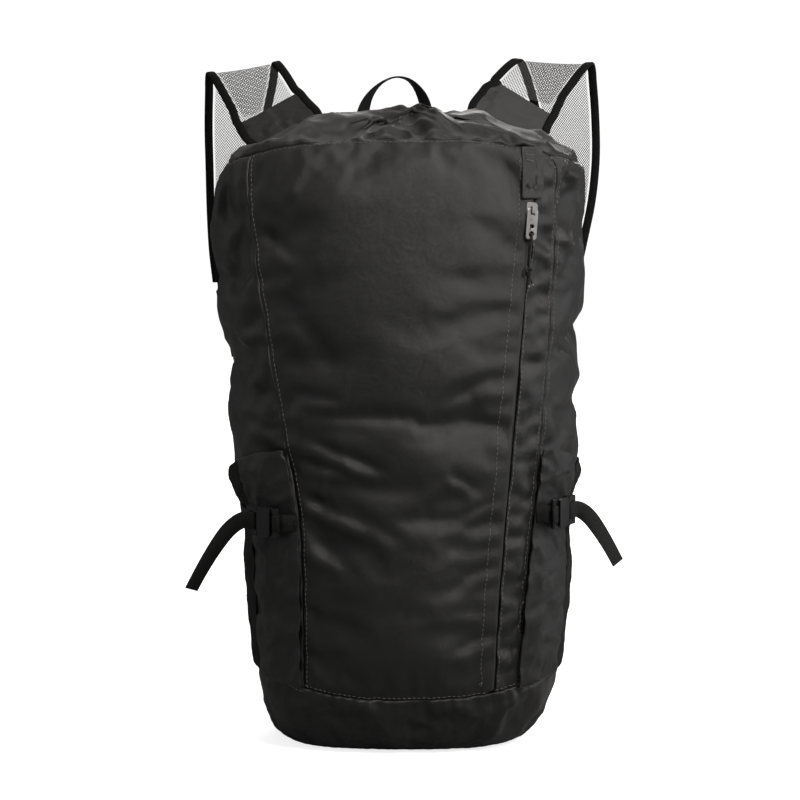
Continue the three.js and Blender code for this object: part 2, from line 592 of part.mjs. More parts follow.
// Slider and pull tab of a zip, in a frame on the zip. The tab swings on a bar under the slider's bridge.
const PLATE_LOW = LAYER_GAP;
const PLATE_TOP = PLATE_LOW + SLIDER_PLATE;
const BAR_REACH = Math.hypot(TAB_BAR, TAB_THICK) / 2;
const BAR_HEIGHT = PLATE_TOP + TAB_PLAY + BAR_REACH;
const BRIDGE_LOW = BAR_HEIGHT + BAR_REACH + TAB_PLAY;
const BRIDGE_LENGTH = 2 * (BAR_REACH + TAB_PLAY + BRIDGE_THICK);
const BRIDGE_REACH = Math.hypot(BRIDGE_LENGTH / 2, BRIDGE_LOW + BRIDGE_THICK - BAR_HEIGHT);
const WINDOW_END = BRIDGE_REACH + TAB_PLAY;
const WINDOW_WIDTH = BRIDGE_WIDTH + 2 * TAB_PLAY + 0.4;

function sliderGeometry() {
  const [halfWidth, halfLength] = [SLIDER_WIDTH / 2, SLIDER_LENGTH / 2];
  const outline = roundedShape(-halfWidth, -halfLength, halfWidth, halfLength, SLIDER_ROUNDING);
  const body = plate(outline, PLATE_LOW, PLATE_TOP);
  const keelLow = COIL_TOP + SEAM_GAP;
  const keelTop = PLATE_LOW + SLIDER_PLATE / 2;
  const keel = block(0, 0, (keelLow + keelTop) / 2, ZIP_COIL, SLIDER_LENGTH - 2, keelTop - keelLow);
  const high = BRIDGE_LOW + BRIDGE_THICK;
  const bridgeLow = PLATE_LOW + SLIDER_PLATE / 4;
  const bridge = block(0, 0, (bridgeLow + high) / 2, BRIDGE_WIDTH, BRIDGE_LENGTH, high - bridgeLow);
  const opening = block(0, 0, (PLATE_TOP + BRIDGE_LOW) / 2, BRIDGE_WIDTH + 2,
    BRIDGE_LENGTH - 2 * BRIDGE_THICK, BRIDGE_LOW - PLATE_TOP);
  return fromManifold(body.add(keel).add(bridge).subtract(opening));
}

function tabGeometry(holes) {
  const low = -TAB_THICK / 2;
  const high = TAB_THICK / 2;
  const outline = roundedShape(-TAB_WIDTH / 2, -TAB_LENGTH, TAB_WIDTH / 2, TAB_BAR / 2, 2);
  const windowMiddle = -(TAB_BAR / 2 + WINDOW_END) / 2;
  const window = block(0, windowMiddle, 0, WINDOW_WIDTH, WINDOW_END - TAB_BAR / 2, TAB_THICK * 3);
  const holeAt = (y, diameter) =>
    plate(new THREE.Shape().absarc(0, y, diameter / 2, 0, Math.PI * 2), low * 3, high * 3);
  const tab = plate(outline, low, high).subtract(window);
  if (!holes) return fromManifold(tab);
  const eyed = tab.subtract(holeAt(TAB_EYE_PLACE, TAB_EYE));
  return fromManifold(eyed.subtract(holeAt(TAB_HOLE_PLACE, TAB_HOLE)));
}
const TAB_HOLE_PLACE = -TAB_LENGTH + TAB_HOLE / 2 + 1.7;
const TAB_EYE_PLACE = TAB_HOLE_PLACE + TAB_HOLE / 2 + TAB_EYE / 2 + 1.6;

// Front zip: slider, tab, and a cord looped through the tab's hole to a knot.
const frontZipPlace = zipPoint(0, SLIDER_HEIGHT, 0);
const frontZipUp = zipPoint(0, SLIDER_HEIGHT + 1, 0).sub(zipPoint(0, SLIDER_HEIGHT - 1, 0));
const frontSlide = clothFrame(frontZipPlace, normalAt("zip", 0.5, SLIDER_HEIGHT), frontZipUp);
add("zip_slider", sliderGeometry(), METAL_GREY, frontSlide);
add("zip_pull_tab", tabGeometry(true), METAL_GREY, frontSlide).position.set(0, 0, BAR_HEIGHT);

// Cord of the pull: behind the tab's end, through its hole and down its front, both ends in the knot. Its
// points are chosen by hand: y down from the hole, z off the cloth.
const CORD_LOOP = [
  [0, -PULL_CORD_DROP + 0.6, 2.2], [0, -16, 1.9], [0, -9, 1.6], [0, -4, 1.15], [0, -1.6, 1.25],
  [0, -0.2, 2.2], [0, 0.25, 3.3], [0, -0.2, 4.5], [0, -1.7, 5.4], [0, -4, 5.5], [0, -9, 4.9], [0, -16, 4.4],
  [0, -PULL_CORD_DROP + 0.6, 4.1]];

function tube(points, diameter, sides, length) {
  const curve = new THREE.CatmullRomCurve3(points.map((p) => new THREE.Vector3(...p)));
  const section = new THREE.Shape().absarc(0, 0, diameter / 2, 0, Math.PI * 2);
  return new THREE.ExtrudeGeometry(section, { steps: length, curveSegments: sides, extrudePath: curve });
}
const pullCord = add("zip_pull_cord", tube(CORD_LOOP, PULL_CORD, 2, 20), CLOTH_BLACK, frontSlide);
pullCord.position.set(0, TAB_HOLE_PLACE, 0);

const knot = new THREE.SphereGeometry(KNOT / 2, 10, 8);
knot.scale(1, 1.25, 0.8);
add("zip_pull_knot", knot, CLOTH_BLACK, frontSlide)
  .position.set(0, TAB_HOLE_PLACE - PULL_CORD_DROP - KNOT * 0.625, 3.15);

// Cloth hood over the top end of the front zip.
const garageGrid = (lift) => steps(4).map((up) => steps(4).map((across) =>
  zipPoint((across - 0.5) * GARAGE_WIDTH, mix(GARAGE_BOTTOM, ZIP_TOP, up), lift)));
add("zip_garage", wall(garageGrid(LAYER_GAP + CLOTH), garageGrid(LAYER_GAP)), CLOTH_BLACK);

const SIDE_LENGTH = 140; // rough way round a side, used only to turn lengths into shares

// Side pockets: the lower part of a side covered by a cloth part in front and a stretch knit part behind,
// standing off it towards the mouth, and drawn in where the compression strap crosses.
const PRESSED = 0.62 * WEBBING; // how far above and below its middle the compression strap flattens a pocket
const pressLow = (side) => COMPRESSION_HEIGHT[side] - PRESSED;
const pressHigh = (side) => COMPRESSION_HEIGHT[side] + PRESSED;

// along runs from the front seam to the back seam on either side of the pack.
const sideShare = (side, along) => (side === "right" ? along : 1 - along);
const pocketFoot = (side, along) => baseSeamAt(side, sideShare(side, along)) + 2;
const pocketMouth = (along) => mix(POCKET_HEIGHT.front, POCKET_HEIGHT.back, smooth(0, 0.6, along));

// How far a pocket stands off its side panel at a height z.
function pocketLift(side, along, z) {
  const foot = pocketFoot(side, along);
  const arch = Math.sin(Math.PI * along) ** 0.6;
  const low = THREE.MathUtils.clamp((z - foot) / (pressLow(side) - foot), 0, 1);
  const belly = POCKET_BELLY * Math.sin(Math.PI * low) ** 0.7;
  const high = THREE.MathUtils.clamp((z - pressHigh(side)) / (pocketMouth(along) - pressHigh(side)), 0, 1);
  const mouth = POCKET_MOUTH * smooth(0, 0.8, high) + POCKET_BULGE * Math.sin(Math.PI * high);
  return LAYER_GAP + arch * (0.4 + belly + mouth);
}

function pocketPoint(side, along, z, lift) {
  const share = sideShare(side, along);
  const level = baseSeamAt(side, share);
  const up = (z - level) / (topSeamAt(side, share) - level);
  return clothPoint(side, share, up, pocketLift(side, along, z) + lift);
}

// Levels of the pocket's grid: below, at and above the compression strap.
const pocketLevels = (side, along) => [
  ...steps(5).map((share) => mix(pocketFoot(side, along), pressLow(side), share)),
  ...steps(3).map((share) => mix(pressHigh(side), pocketMouth(along), share))];

function pocketPart(name, side, from, to, columns, material) {
  const trim = SEAM_GAP / 2 / SIDE_LENGTH;
  const grid = (lift) => {
    const alongs = steps(columns).map((across) => mix(from + trim, to - trim, across));
    const levels = alongs.map((along) => pocketLevels(side, along));
    const rows = levels[0].map((_, i) =>
      alongs.map((along, j) => pocketPoint(side, along, levels[j][i], lift)));
    return side === "right" ? rows : rows.map((row) => row.reverse());
  };
  add(name, wall(grid(CLOTH), grid(0)), material);
}

for (const side of ["left", "right"]) {
  pocketPart(`pocket_cloth_${side}`, side, POCKET_ENDS, POCKET_SPLIT, 3, CLOTH_BLACK);
  pocketPart(`pocket_knit_${side}`, side, POCKET_SPLIT, 1 - POCKET_ENDS, KNIT_COLUMNS, KNIT_BLACK);
}

// Compression straps: webbing on the pocket from the front seam to the buckle and from it to the back seam.
const FOLD_BACK = 3; // webbing turned back past the end of a buckle
const nearBuckle = (BUCKLE_LENGTH / 2 + FOLD_BACK + 1.5) / SIDE_LENGTH;

// Place on the pocket along the side at the height of the compression strap, raised by lift, and the way up
// the pocket there.
const strapPlace = (side, along, lift) =>
  pocketPoint(side, along, COMPRESSION_HEIGHT[side], CLOTH + LAYER_GAP + WEBBING_THICK / 2 + lift);
const strapUp = (side, along) =>
  pocketPoint(side, along, pressHigh(side), 0).sub(pocketPoint(side, along, pressLow(side), 0)).normalize();

// Side-release buckle, its length along x from the sewn webbing (-) to the adjustable one (+), middle at z 0.
const BUCKLE_HALF = BUCKLE_LENGTH / 2;
const BUCKLE_FRAME = 3; // thickness of the ladder parts at both ends
const SOCKET_END = 3; // x of the socket's mouth
const SLOT_WIDTH = WEBBING + 1;
const HALF_WIDTH = BUCKLE_WIDTH / 2;
const PRONG_WIDTH = 2.8;
const PRONG_THICK = BUCKLE_THICK - 2 * BUCKLE_WALL - 2 * BUCKLE_PLAY;
const PRONG_REACH = 9; // how far the prongs go in behind the socket's mouth
const PRONG_HEAD = 4;

// A box between two x and two y values, centred through its thickness.
const slab = (x0, x1, y0, y1, thick) => block((x0 + x1) / 2, (y0 + y1) / 2, 0, x1 - x0, y1 - y0, thick);

function roundedPlate(x0, x1, halfWidth, thick, radius) {
  return plate(roundedShape(x0, -halfWidth, x1, halfWidth, radius), -thick / 2, thick / 2, 2);
}

function socketGeometry() {
  const slotStart = -BUCKLE_HALF + BUCKLE_BAR;
  const shellStart = slotStart + BUCKLE_SLOT;
  const cavityStart = SOCKET_END - PRONG_REACH - PRONG_HEAD;
  const inside = HALF_WIDTH - BUCKLE_WALL;
  const shell = roundedPlate(shellStart, SOCKET_END, HALF_WIDTH, BUCKLE_THICK, 2.5);
  const frame = roundedPlate(-BUCKLE_HALF, shellStart + 4, HALF_WIDTH, BUCKLE_FRAME, 1.2);
  const slot = slab(slotStart, shellStart, -SLOT_WIDTH / 2, SLOT_WIDTH / 2, BUCKLE_THICK * 2);
  const cavity = slab(cavityStart, SOCKET_END + 1, -inside, inside, BUCKLE_THICK - 2 * BUCKLE_WALL);
  const windowStart = SOCKET_END - PRONG_REACH - BUCKLE_PLAY;
  const windowEnd = windowStart + PRONG_HEAD + 2 * BUCKLE_PLAY;
  const windows = slab(windowStart, windowEnd, -HALF_WIDTH - 1, HALF_WIDTH + 1, BUCKLE_THICK - 2 * BUCKLE_WALL);
  return fromManifold(shell.add(frame).subtract(slot).subtract(cavity).subtract(windows));
}

function plugGeometry() {
  const start = SOCKET_END + BUCKLE_PLAY;
  const slots = [1, 2].map((step) => {
    const end = BUCKLE_HALF - BUCKLE_BAR - (step - 1) * (BUCKLE_SLOT + BUCKLE_BAR);
    return slab(end - BUCKLE_SLOT, end, -SLOT_WIDTH / 2, SLOT_WIDTH / 2, BUCKLE_THICK * 2);
  });
  const lip = roundedPlate(start, start + 2, HALF_WIDTH, BUCKLE_THICK, 0.9);
  let plug = roundedPlate(start, BUCKLE_HALF, HALF_WIDTH, BUCKLE_FRAME, 1.2).add(lip);
  slots.forEach((slot) => (plug = plug.subtract(slot)));
  const prongOuter = HALF_WIDTH - BUCKLE_WALL - 1;
  const tip = SOCKET_END - PRONG_REACH;
  for (const sign of [-1, 1]) {
    const spots = [sign * (prongOuter - PRONG_WIDTH), sign * prongOuter].sort((a, b) => a - b);
    const head = [sign * (prongOuter - PRONG_WIDTH), sign * (HALF_WIDTH - 0.4)].sort((a, b) => a - b);
    plug = plug.add(slab(tip, start + 1, spots[0], spots[1], PRONG_THICK));
    plug = plug.add(slab(tip, tip + PRONG_HEAD, head[0], head[1], PRONG_THICK));
  }
  return fromManifold(plug.add(slab(tip + 2, start + 1, -1.2, 1.2, PRONG_THICK)));
}

// Height of the buckle's middle above the pocket, and the webbing's levels under and over its bars.
const BUCKLE_HEIGHT = LAYER_GAP + WEBBING_THICK + LAYER_GAP + BUCKLE_THICK / 2;
const UNDER_BAR = BUCKLE_HEIGHT - BUCKLE_FRAME / 2 - BUCKLE_PLAY - WEBBING_THICK / 2;
const OVER_BAR = BUCKLE_HEIGHT + BUCKLE_FRAME / 2 + BUCKLE_PLAY + WEBBING_THICK / 2;

// Route of the webbing round a bar, as [distance from the buckle's middle, height off the pocket]: in under
// it, up beyond it and back over it.
function roundBar(barInner) {
  const bend = barInner - BUCKLE_PLAY - WEBBING_THICK / 2;
  return [
    [BUCKLE_HALF + FOLD_BACK, UNDER_BAR - 0.8], [BUCKLE_HALF, UNDER_BAR - 0.1], [barInner, UNDER_BAR],
    [bend, UNDER_BAR + 1], [bend, BUCKLE_HEIGHT], [bend, OVER_BAR - 1],
    [barInner, OVER_BAR], [BUCKLE_HALF, OVER_BAR]];
}

for (const side of ["left", "right"]) {
  const sign = side === "right" ? 1 : -1;
  const buckleAlong = BUCKLE_FROM_SEAM[side] / SIDE_LENGTH;
  const seat = strapPlace(side, buckleAlong, -LAYER_GAP - WEBBING_THICK / 2);
  const rearward = strapPlace(side, buckleAlong + 0.02, 0).sub(strapPlace(side, buckleAlong - 0.02, 0));
  rearward.setZ(0).normalize();
  const outward = rearward.clone().cross(point(0, 0, 1)).multiplyScalar(sign).normalize();
  const buckle = clothFrame(seat, outward, point(0, 0, 1));
  for (const [name, geometry] of [["buckle_socket", socketGeometry()], ["buckle_plug", plugGeometry()]]) {
    const piece = add(`${name}_${side}`, geometry, PLASTIC_BLACK, buckle);
    piece.position.set(0, 0, BUCKLE_HEIGHT);
    piece.rotation.z = side === "right" ? 0 : Math.PI;
  }
  const atBuckle = ([x, height], direction) =>
    seat.clone().addScaledVector(rearward, direction * x).addScaledVector(outward, height);

  // Sewn end in front: round the socket's bar and back on itself.
  const sewnAlongs = [1.3 * POCKET_ENDS, buckleAlong - nearBuckle];
  const sewn = sewnAlongs.map((along) => strapPlace(side, along, 0));
  const fold = roundBar(BUCKLE_HALF - BUCKLE_BAR).map((spot) => atBuckle(spot, -1));
  fold.push(atBuckle([BUCKLE_HALF + FOLD_BACK, OVER_BAR - 0.8], -1));
  const front = [...sewn, ...fold];
  const frontWidths = front.map((_, i) => (i < sewn.length ? strapUp(side, sewnAlongs[i]) : point(0, 0, 1)));
  add(`compression_front_${side}`, sweep(stationsAlong(front, frontWidths),
    () => rectangle(WEBBING, WEBBING_THICK)), WEBBING_BLACK);

  // Adjustable end behind: sewn in the back seam, under both bars of the plug, back over them, and its tail
  // hanging free.
  const columns = steps(KNIT_COLUMNS).map((share) => mix(1 - POCKET_ENDS, POCKET_SPLIT, share));
  const spots = columns.filter((along) => along > buckleAlong + nearBuckle)
    .map((along) => Math.min(along, 1 - 2 * POCKET_ENDS));
  const rear = spots.map((along) => strapPlace(side, along, 0));
  rear.push(...roundBar(BUCKLE_HALF - 2 * BUCKLE_BAR - BUCKLE_SLOT).map((spot) => atBuckle(spot, 1)));
  const start = rear[rear.length - 1];
  const length = TAIL_LENGTH[side];
  const widths = rear.map((_, i) => (i < spots.length ? strapUp(side, spots[i]) : point(0, 0, 1)));
  TAIL_PATH.slice(1).forEach((row) => {
    const [out, down] = [row.out * length, row.down * length];
    const place = start.clone().add(point(sign * out, 0.05 * out, -down));
    rear.push(place.addScaledVector(rearward, 5 * Math.min(row.out * 8, 1)));
    const turn = THREE.MathUtils.degToRad(row.twist);
    widths.push(point(sign * row.down, 0, row.out).normalize().multiplyScalar(Math.cos(turn))
      .add(point(0, sign * Math.sin(turn), 0)));
  });
  const hemFrom = 1 - TAIL_HEM / (length * 3.2);
  add(`compression_rear_${side}`, sweep(stationsAlong(rear, widths),
    (share) => rectangle(WEBBING, WEBBING_THICK * (share > hemFrom ? 2 : 1))), WEBBING_BLACK);
}

// Shoulder straps. Their edges run through the rows of STRAPS; a place between them is a share from the
// inner edge to the outer one.
const BACK_TOP = smoothPoint("back", 0.5, TOP_SEAM.back);
const backSurface = (x, z) => depthAt(sectionAt(z), x, false);

function strapEdges(side) {
  const sign = side === "right" ? 1 : -1;
  const edge = (xColumn, riseColumn, skewShare) => new THREE.CatmullRomCurve3(STRAPS[side].map((row) => {
    const rise = row[riseColumn] * (row[riseColumn] > 0 ? STRAP_RISE : STRAP_DROP);
    const y = BACK_TOP.y + (row.back + skewShare * row.skew) * STRAP_REACH;
    return point(sign * row[xColumn] * BODY_WIDTH / 2, y, TOP_SEAM.back + rise);
  }));
  return { inner: edge("innerX", "innerRise", 1), outer: edge("outerX", "outerRise", 0) };
}

// Stations along a strap, with the direction and size of its width; every band of the strap is cut from them.
function strapStations(side, from, to, count) {
  const edges = strapEdges(side);
  const middleAt = (t) => mixPoints(edges.inner.getPointAt(t), edges.outer.getPointAt(t), 0.5);
  return steps(count).map((share) => {
    const t = mix(from, to, share);
    const [inner, outer] = [edges.inner.getPointAt(t), edges.outer.getPointAt(t)];
    const width = inner.distanceTo(outer);
    const across = outer.clone().sub(inner).divideScalar(width);
    const along = middleAt(Math.min(t + 0.01, 1)).sub(middleAt(Math.max(t - 0.01, 0)));
    return { inner, across, width, through: along.cross(across).normalize() };
  });
}

// A lengthwise band of a strap; edgesOf gives its two distances from the inner edge.
function bandGeometry(stations, thick, edgesOf) {
  return loft(stations.map((station) => {
    const [near, far] = edgesOf(station.width);
    return [[near, -1], [far, -1], [far, 1], [near, 1]].map(([across, face]) =>
      station.inner.clone().addScaledVector(station.across, across)
        .addScaledVector(station.through, (face * thick) / 2));
  }));
}

const BASE_SHARE = 0.13; // share of the strap's length in shell cloth, at its foot
const FOOT_OUTER = 0.8; // share of the half width where the foot's outer edge is sewn down
const STRAP_BELOW_SEAM = 6;
const BINDING_ALL = STRAP_MESH + 2 * BINDING_THICK;

for (const side of ["left", "right"]) {
  const sign = side === "right" ? 1 : -1;
  const stations = strapStations(side, BASE_SHARE, 1, STRAP_STATIONS);
  const bindings = { inner: () => [0, BINDING_WIDTH], outer: (width) => [width - BINDING_WIDTH, width] };
  add(`strap_mesh_${side}`, bandGeometry(stations, STRAP_MESH, (width) =>
    [BINDING_WIDTH + MESH_EDGE_GAP, width - BINDING_WIDTH - MESH_EDGE_GAP]), MESH_GREY);
  for (const [edge, edgesOf] of Object.entries(bindings)) {
    add(`strap_binding_${edge}_${side}`, bandGeometry(stations, BINDING_ALL, edgesOf), WEBBING_BLACK);
  }

  // Foot of the strap: shell cloth sewn on the back panel below the main zip, up to the mesh.
  const foot = strapStations(side, 0, BASE_SHARE - 0.004, 4);
  const sewnRows = [STRAP_SEWN, STRAP_SEWN / 2, 0].map((below) => ({
    spots: [-0.5, -0.17, 0.17, 0.5].map((across) => {
      const footX = mix(STRAPS[side][0].innerX, FOOT_OUTER, across + 0.5) * sign;
      const share = 0.5 - footX / BACK_SEAM / 2;
      const z = topSeamAt("back", share) - STRAP_BELOW_SEAM - below;
      return smoothPoint("back", share, z).addScaledVector(normalAt("back", share, z), LAYER_GAP + CLOTH / 2);
    }),
  }));
  const footRows = foot.map((station) => ({
    spots: [0, 0.33, 0.67, 1].map((share) =>
      station.inner.clone().addScaledVector(station.across, share * station.width)),
  }));
  const rows = [...sewnRows, ...footRows];
  const grid = (lift) => rows.map((row, i) => row.spots.map((spot, j) => {
    const above = rows[Math.min(i + 1, rows.length - 1)].spots[j];
    const below = rows[Math.max(i - 1, 0)].spots[j];
    const along = above.clone().sub(below);
    const across = row.spots[Math.min(j + 1, 3)].clone().sub(row.spots[Math.max(j - 1, 0)]);
    return spot.clone().addScaledVector(across.cross(along).normalize(), lift);
  }));
  add(`strap_base_${side}`, wall(grid(CLOTH / 2), grid(-CLOTH / 2)), CLOTH_BLACK);
}

// Main zip: tape and coil in the slot behind the top panel, seen from above between it and the back panel.
// A place in the slot by its share along the back panel, distance in from the back and drop below the cloth.
function slotPoint(share, inward, drop) {
  const edge = domePoint("back", share, 1);
  return domePoint("back", share, 1 - inward / Math.hypot(edge.x, edge.y - MIDDLE_DEPTH), drop);
}
const SLOT_NEAR = CLOTH + LAYER_GAP; // clear of the back panel's wall
const MAIN_ZIP_SECTION = [
  [SLOT_NEAR, -TAPE_TOP + ZIP_TAPE_THICK], [SLOT_NEAR, -COIL_TOP], [SLOT_NEAR + ZIP_COIL - 1, -COIL_TOP],
  [SLOT_NEAR + ZIP_COIL - 1, -TAPE_TOP], [SLOT_NEAR + ZIP_COIL + 3, -TAPE_TOP],
  [SLOT_NEAR + ZIP_COIL + 3, -TAPE_TOP + ZIP_TAPE_THICK]];
const mainStops = steps(COLUMNS.back).filter((share) => Math.abs(share - 0.5) < 0.501 - MAIN_ZIP_ENDS);
add("main_zip_tape", loft(mainStops.map((share) =>
  MAIN_ZIP_SECTION.map(([inward, drop]) => slotPoint(share, inward, drop)))), CLOTH_BLACK);

const mainShare = 0.5 - MAIN_SLIDER_ACROSS / BODY_WIDTH / BACK_SEAM;
const mainMiddle = SLOT_NEAR + (ZIP_COIL - 1) / 2;
const mainAlong = slotPoint(mainShare + 0.02, mainMiddle, 0).sub(slotPoint(mainShare - 0.02, mainMiddle, 0));
const mainAcross = slotPoint(mainShare, 0, 0).sub(slotPoint(mainShare, 2 * mainMiddle, 0));
const mainNormal = mainAcross.clone().cross(mainAlong).normalize();
const mainSlide = clothFrame(slotPoint(mainShare, mainMiddle, 0), mainNormal, mainAlong);
add("main_zip_slider", sliderGeometry(), METAL_GREY, mainSlide);
add("main_zip_pull", tabGeometry(false), METAL_GREY, mainSlide).position.set(0, 0, BAR_HEIGHT);

// Strap adjusters: a ladder of bars hung from a webbing loop at the end of the mesh, with the lower webbing
// run under two of its bars, back over them and down to a free end.
function adjusterGeometry() {
  const barPitch = BUCKLE_BAR + BUCKLE_SLOT;
  const outline = roundedPlate(0, ADJUSTER_LENGTH, ADJUSTER_WIDTH / 2, BUCKLE_FRAME, 1.5);
  const starts = [BUCKLE_BAR, ADJUSTER_LENGTH - barPitch, ADJUSTER_LENGTH - 2 * barPitch];
  const slotAt = (start) =>
    slab(start, start + BUCKLE_SLOT, -SLOT_WIDTH / 2, SLOT_WIDTH / 2, BUCKLE_FRAME * 2);
  return fromManifold(starts.reduce((ladder, start) => ladder.subtract(slotAt(start)), outline));
}

for (const side of ["left", "right"]) {
  const sign = side === "right" ? 1 : -1;
  const end = strapStations(side, BASE_SHARE, 1, STRAP_STATIONS).pop();
  const across = end.across;
  const middle = end.inner.clone().addScaledVector(across, end.width / 2);
  const outward = end.through.clone().multiplyScalar(Math.sign(end.through.y));
  const down = outward.clone().cross(across).normalize();
  down.multiplyScalar(-Math.sign(down.z));
  const at = ([distance, out]) =>
    middle.clone().addScaledVector(down, distance).addScaledVector(outward, out);
  const half = BUCKLE_FRAME / 2 + BUCKLE_PLAY + WEBBING_THICK / 2;

  const ladder = clothFrame(at([ADJUSTER_DROP, 0]), outward, down.clone().negate());
  const adjuster = add(`strap_adjuster_${side}`, adjusterGeometry(), PLASTIC_BLACK, ladder);
  adjuster.rotation.z = -Math.PI / 2;

  // Loop from the mesh round the ladder's top bar.
  const turn = ADJUSTER_DROP + BUCKLE_BAR + BUCKLE_PLAY + WEBBING_THICK / 2;
  const loop = [[0.4, 0.95], [3.5, half - 0.4], [turn - 1.2, half], [turn, half / 2], [turn, -half / 2],
    [turn - 1.2, -half], [3.5, 0.4 - half], [0.4, -0.95]].map(at);
  add(`strap_loop_${side}`, sweep(stationsAlong(loop, loop.map(() => across)),
    () => rectangle(WEBBING, WEBBING_THICK)), WEBBING_BLACK);

  // Lower webbing, from where it is sewn on the back panel up to the adjuster.
  const low = ADJUSTER_DROP + ADJUSTER_LENGTH;
  const barIn = low - 2 * BUCKLE_BAR - BUCKLE_SLOT;
  const bend = barIn - BUCKLE_PLAY - WEBBING_THICK / 2;
  const anchorShare = 0.5 - 0.4 * sign;
  const anchorNormal = normalAt("back", anchorShare, ANCHOR_HEIGHT);
  const anchorAt = (z) => smoothPoint("back", anchorShare, z)
    .addScaledVector(anchorNormal, LAYER_GAP + WEBBING_THICK / 2);
  const foot = [anchorAt(ANCHOR_HEIGHT), anchorAt(ANCHOR_HEIGHT + ANCHOR_SEWN)];
  const lowest = at([low + 4, -half - 1]);
  const free = [0.25, 0.5, 0.75].map((share) => mixPoints(foot[1], lowest, share)
    .add(point(sign * 5 * Math.sin(Math.PI * share), 9 * Math.sin(Math.PI * share), 0)));
  const under = [[low + 4, -half - 1], [low, -half], [barIn, -half], [bend, 1 - half], [bend, half - 1],
    [barIn, half], [low, half], [low + ADJUSTER_TAIL / 3, half + 0.6], [low + ADJUSTER_TAIL, half + 3]].map(at);
  const route = [...foot, ...free, ...under];
  const anchorWidth = point(anchorNormal.y * sign, -anchorNormal.x * sign, 0);
  const widths = route.map((_, i) => (i < foot.length ? anchorWidth : across));
  add(`strap_webbing_${side}`, sweep(stationsAlong(route, widths), () => rectangle(WEBBING, WEBBING_THICK)),
    WEBBING_BLACK);
}

// Haul loop: webbing sewn flat on the back panel at both feet, turned flat side up over the arch. along is a
// share of the span, rise a share of the loop's rise above the back seam, turn the degrees its width is turned
// from level, and lean the share of its width that it leans forward over the top.
const LOOP_ROWS = [
  { along: 0.0, rise: -0.75, turn: 0, lean: 0 },
  { along: 0.0, rise: -0.3, turn: 0, lean: 0 },
  { along: 0.03, rise: 0.15, turn: 15, lean: 0.1 },
  { along: 0.12, rise: 0.55, turn: 50, lean: 0.25 },
  { along: 0.3, rise: 0.86, turn: 80, lean: 0.35 },
  { along: 0.52, rise: 1.0, turn: 95, lean: 0.35 },
  { along: 0.72, rise: 0.93, turn: 110, lean: 0.3 },
  { along: 0.9, rise: 0.6, turn: 140, lean: 0.2 },
  { along: 0.98, rise: 0.15, turn: 165, lean: 0.1 },
  { along: 1.0, rise: -0.3, turn: 180, lean: 0 },
  { along: 1.0, rise: -0.75, turn: 180, lean: 0 },
];
const loopRoute = new THREE.CatmullRomCurve3(LOOP_ROWS.map((row) => {
  const x = LOOP_OFFSET + (row.along - 0.5) * LOOP_SPAN;
  const z = TOP_SEAM.back + row.rise * LOOP_RISE;
  const surface = backSurface(x, Math.min(z, TOP_SEAM.back - 4));
  return point(x, surface + LAYER_GAP + LOOP_THICK / 2 - row.lean * LOOP_WIDTH + (row.lean ? 1.5 : 0), z);
}));
const loopTurns = new THREE.CatmullRomCurve3(LOOP_ROWS.map((row) => point(row.turn, 0, 0)));
const loopShares = Array.from({ length: LOOP_STATIONS + 1 }, (_, i) => i / LOOP_STATIONS);
const loopWidths = loopShares.map((share) => {
  const turn = THREE.MathUtils.degToRad(loopTurns.getPoint(share).x);
  return point(Math.cos(turn), Math.sin(turn), 0);
});
const loopStations = stationsAlong(loopShares.map((share) => loopRoute.getPoint(share)), loopWidths);
add("haul_loop", sweep(loopStations, () => rectangle(LOOP_WIDTH, LOOP_THICK)), WEBBING_BLACK);

// Origin under the middle of the whole pack, on the floor.
const box = new THREE.Box3().setFromObject(group);
group.position.set(-(box.min.x + box.max.x) / 2, -(box.min.y + box.max.y) / 2, -box.min.z);

export default group;
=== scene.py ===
# A packable daypack of thin black nylon, standing filled on its base.
import json
import math
import bmesh
import bpy
from mathutils import Matrix, Vector, noise
from mathutils.bvhtree import BVHTree
from mathutils.kdtree import KDTree


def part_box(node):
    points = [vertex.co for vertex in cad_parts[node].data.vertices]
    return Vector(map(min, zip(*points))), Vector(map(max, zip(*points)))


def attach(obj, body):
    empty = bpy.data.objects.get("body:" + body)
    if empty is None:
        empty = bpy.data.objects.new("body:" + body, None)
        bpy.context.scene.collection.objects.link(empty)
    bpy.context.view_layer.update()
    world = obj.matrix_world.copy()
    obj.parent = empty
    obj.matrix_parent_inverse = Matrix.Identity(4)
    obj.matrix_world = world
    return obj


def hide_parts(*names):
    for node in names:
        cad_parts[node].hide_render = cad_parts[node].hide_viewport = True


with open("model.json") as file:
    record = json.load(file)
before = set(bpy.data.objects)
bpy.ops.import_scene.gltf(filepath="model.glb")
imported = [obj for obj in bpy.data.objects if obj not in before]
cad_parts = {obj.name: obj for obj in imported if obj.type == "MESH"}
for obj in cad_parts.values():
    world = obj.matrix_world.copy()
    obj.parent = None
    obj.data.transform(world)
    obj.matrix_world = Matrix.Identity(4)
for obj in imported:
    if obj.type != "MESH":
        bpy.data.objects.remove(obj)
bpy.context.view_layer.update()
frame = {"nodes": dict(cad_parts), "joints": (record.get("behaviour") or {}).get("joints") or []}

# The place it stands in
# A white studio sweep that runs from floor to wall, soft lights above and over the bag's right shoulder, long
# ones at its sides and two behind it. The camera looks across the floor from a little above.
AIM = Vector((-0.004, -0.02, 0.2515))
ELEVATION = math.radians(6.5)
DISTANCE = 1.6
FIELD = 0.592
FLOOR_REACH = 4
FLOOR_DROP = 0.0002
WALL_HEIGHT = 5
WALL_BEND = 1.5
SWEEP_WHITE = 0.93
SWEEP_GREY = 0.22
SWEEP_GLOW = 0.8
SKY_GREY = 0.2
camera = bpy.data.objects.new("camera", bpy.data.cameras.new("camera"))
bpy.context.collection.objects.link(camera)
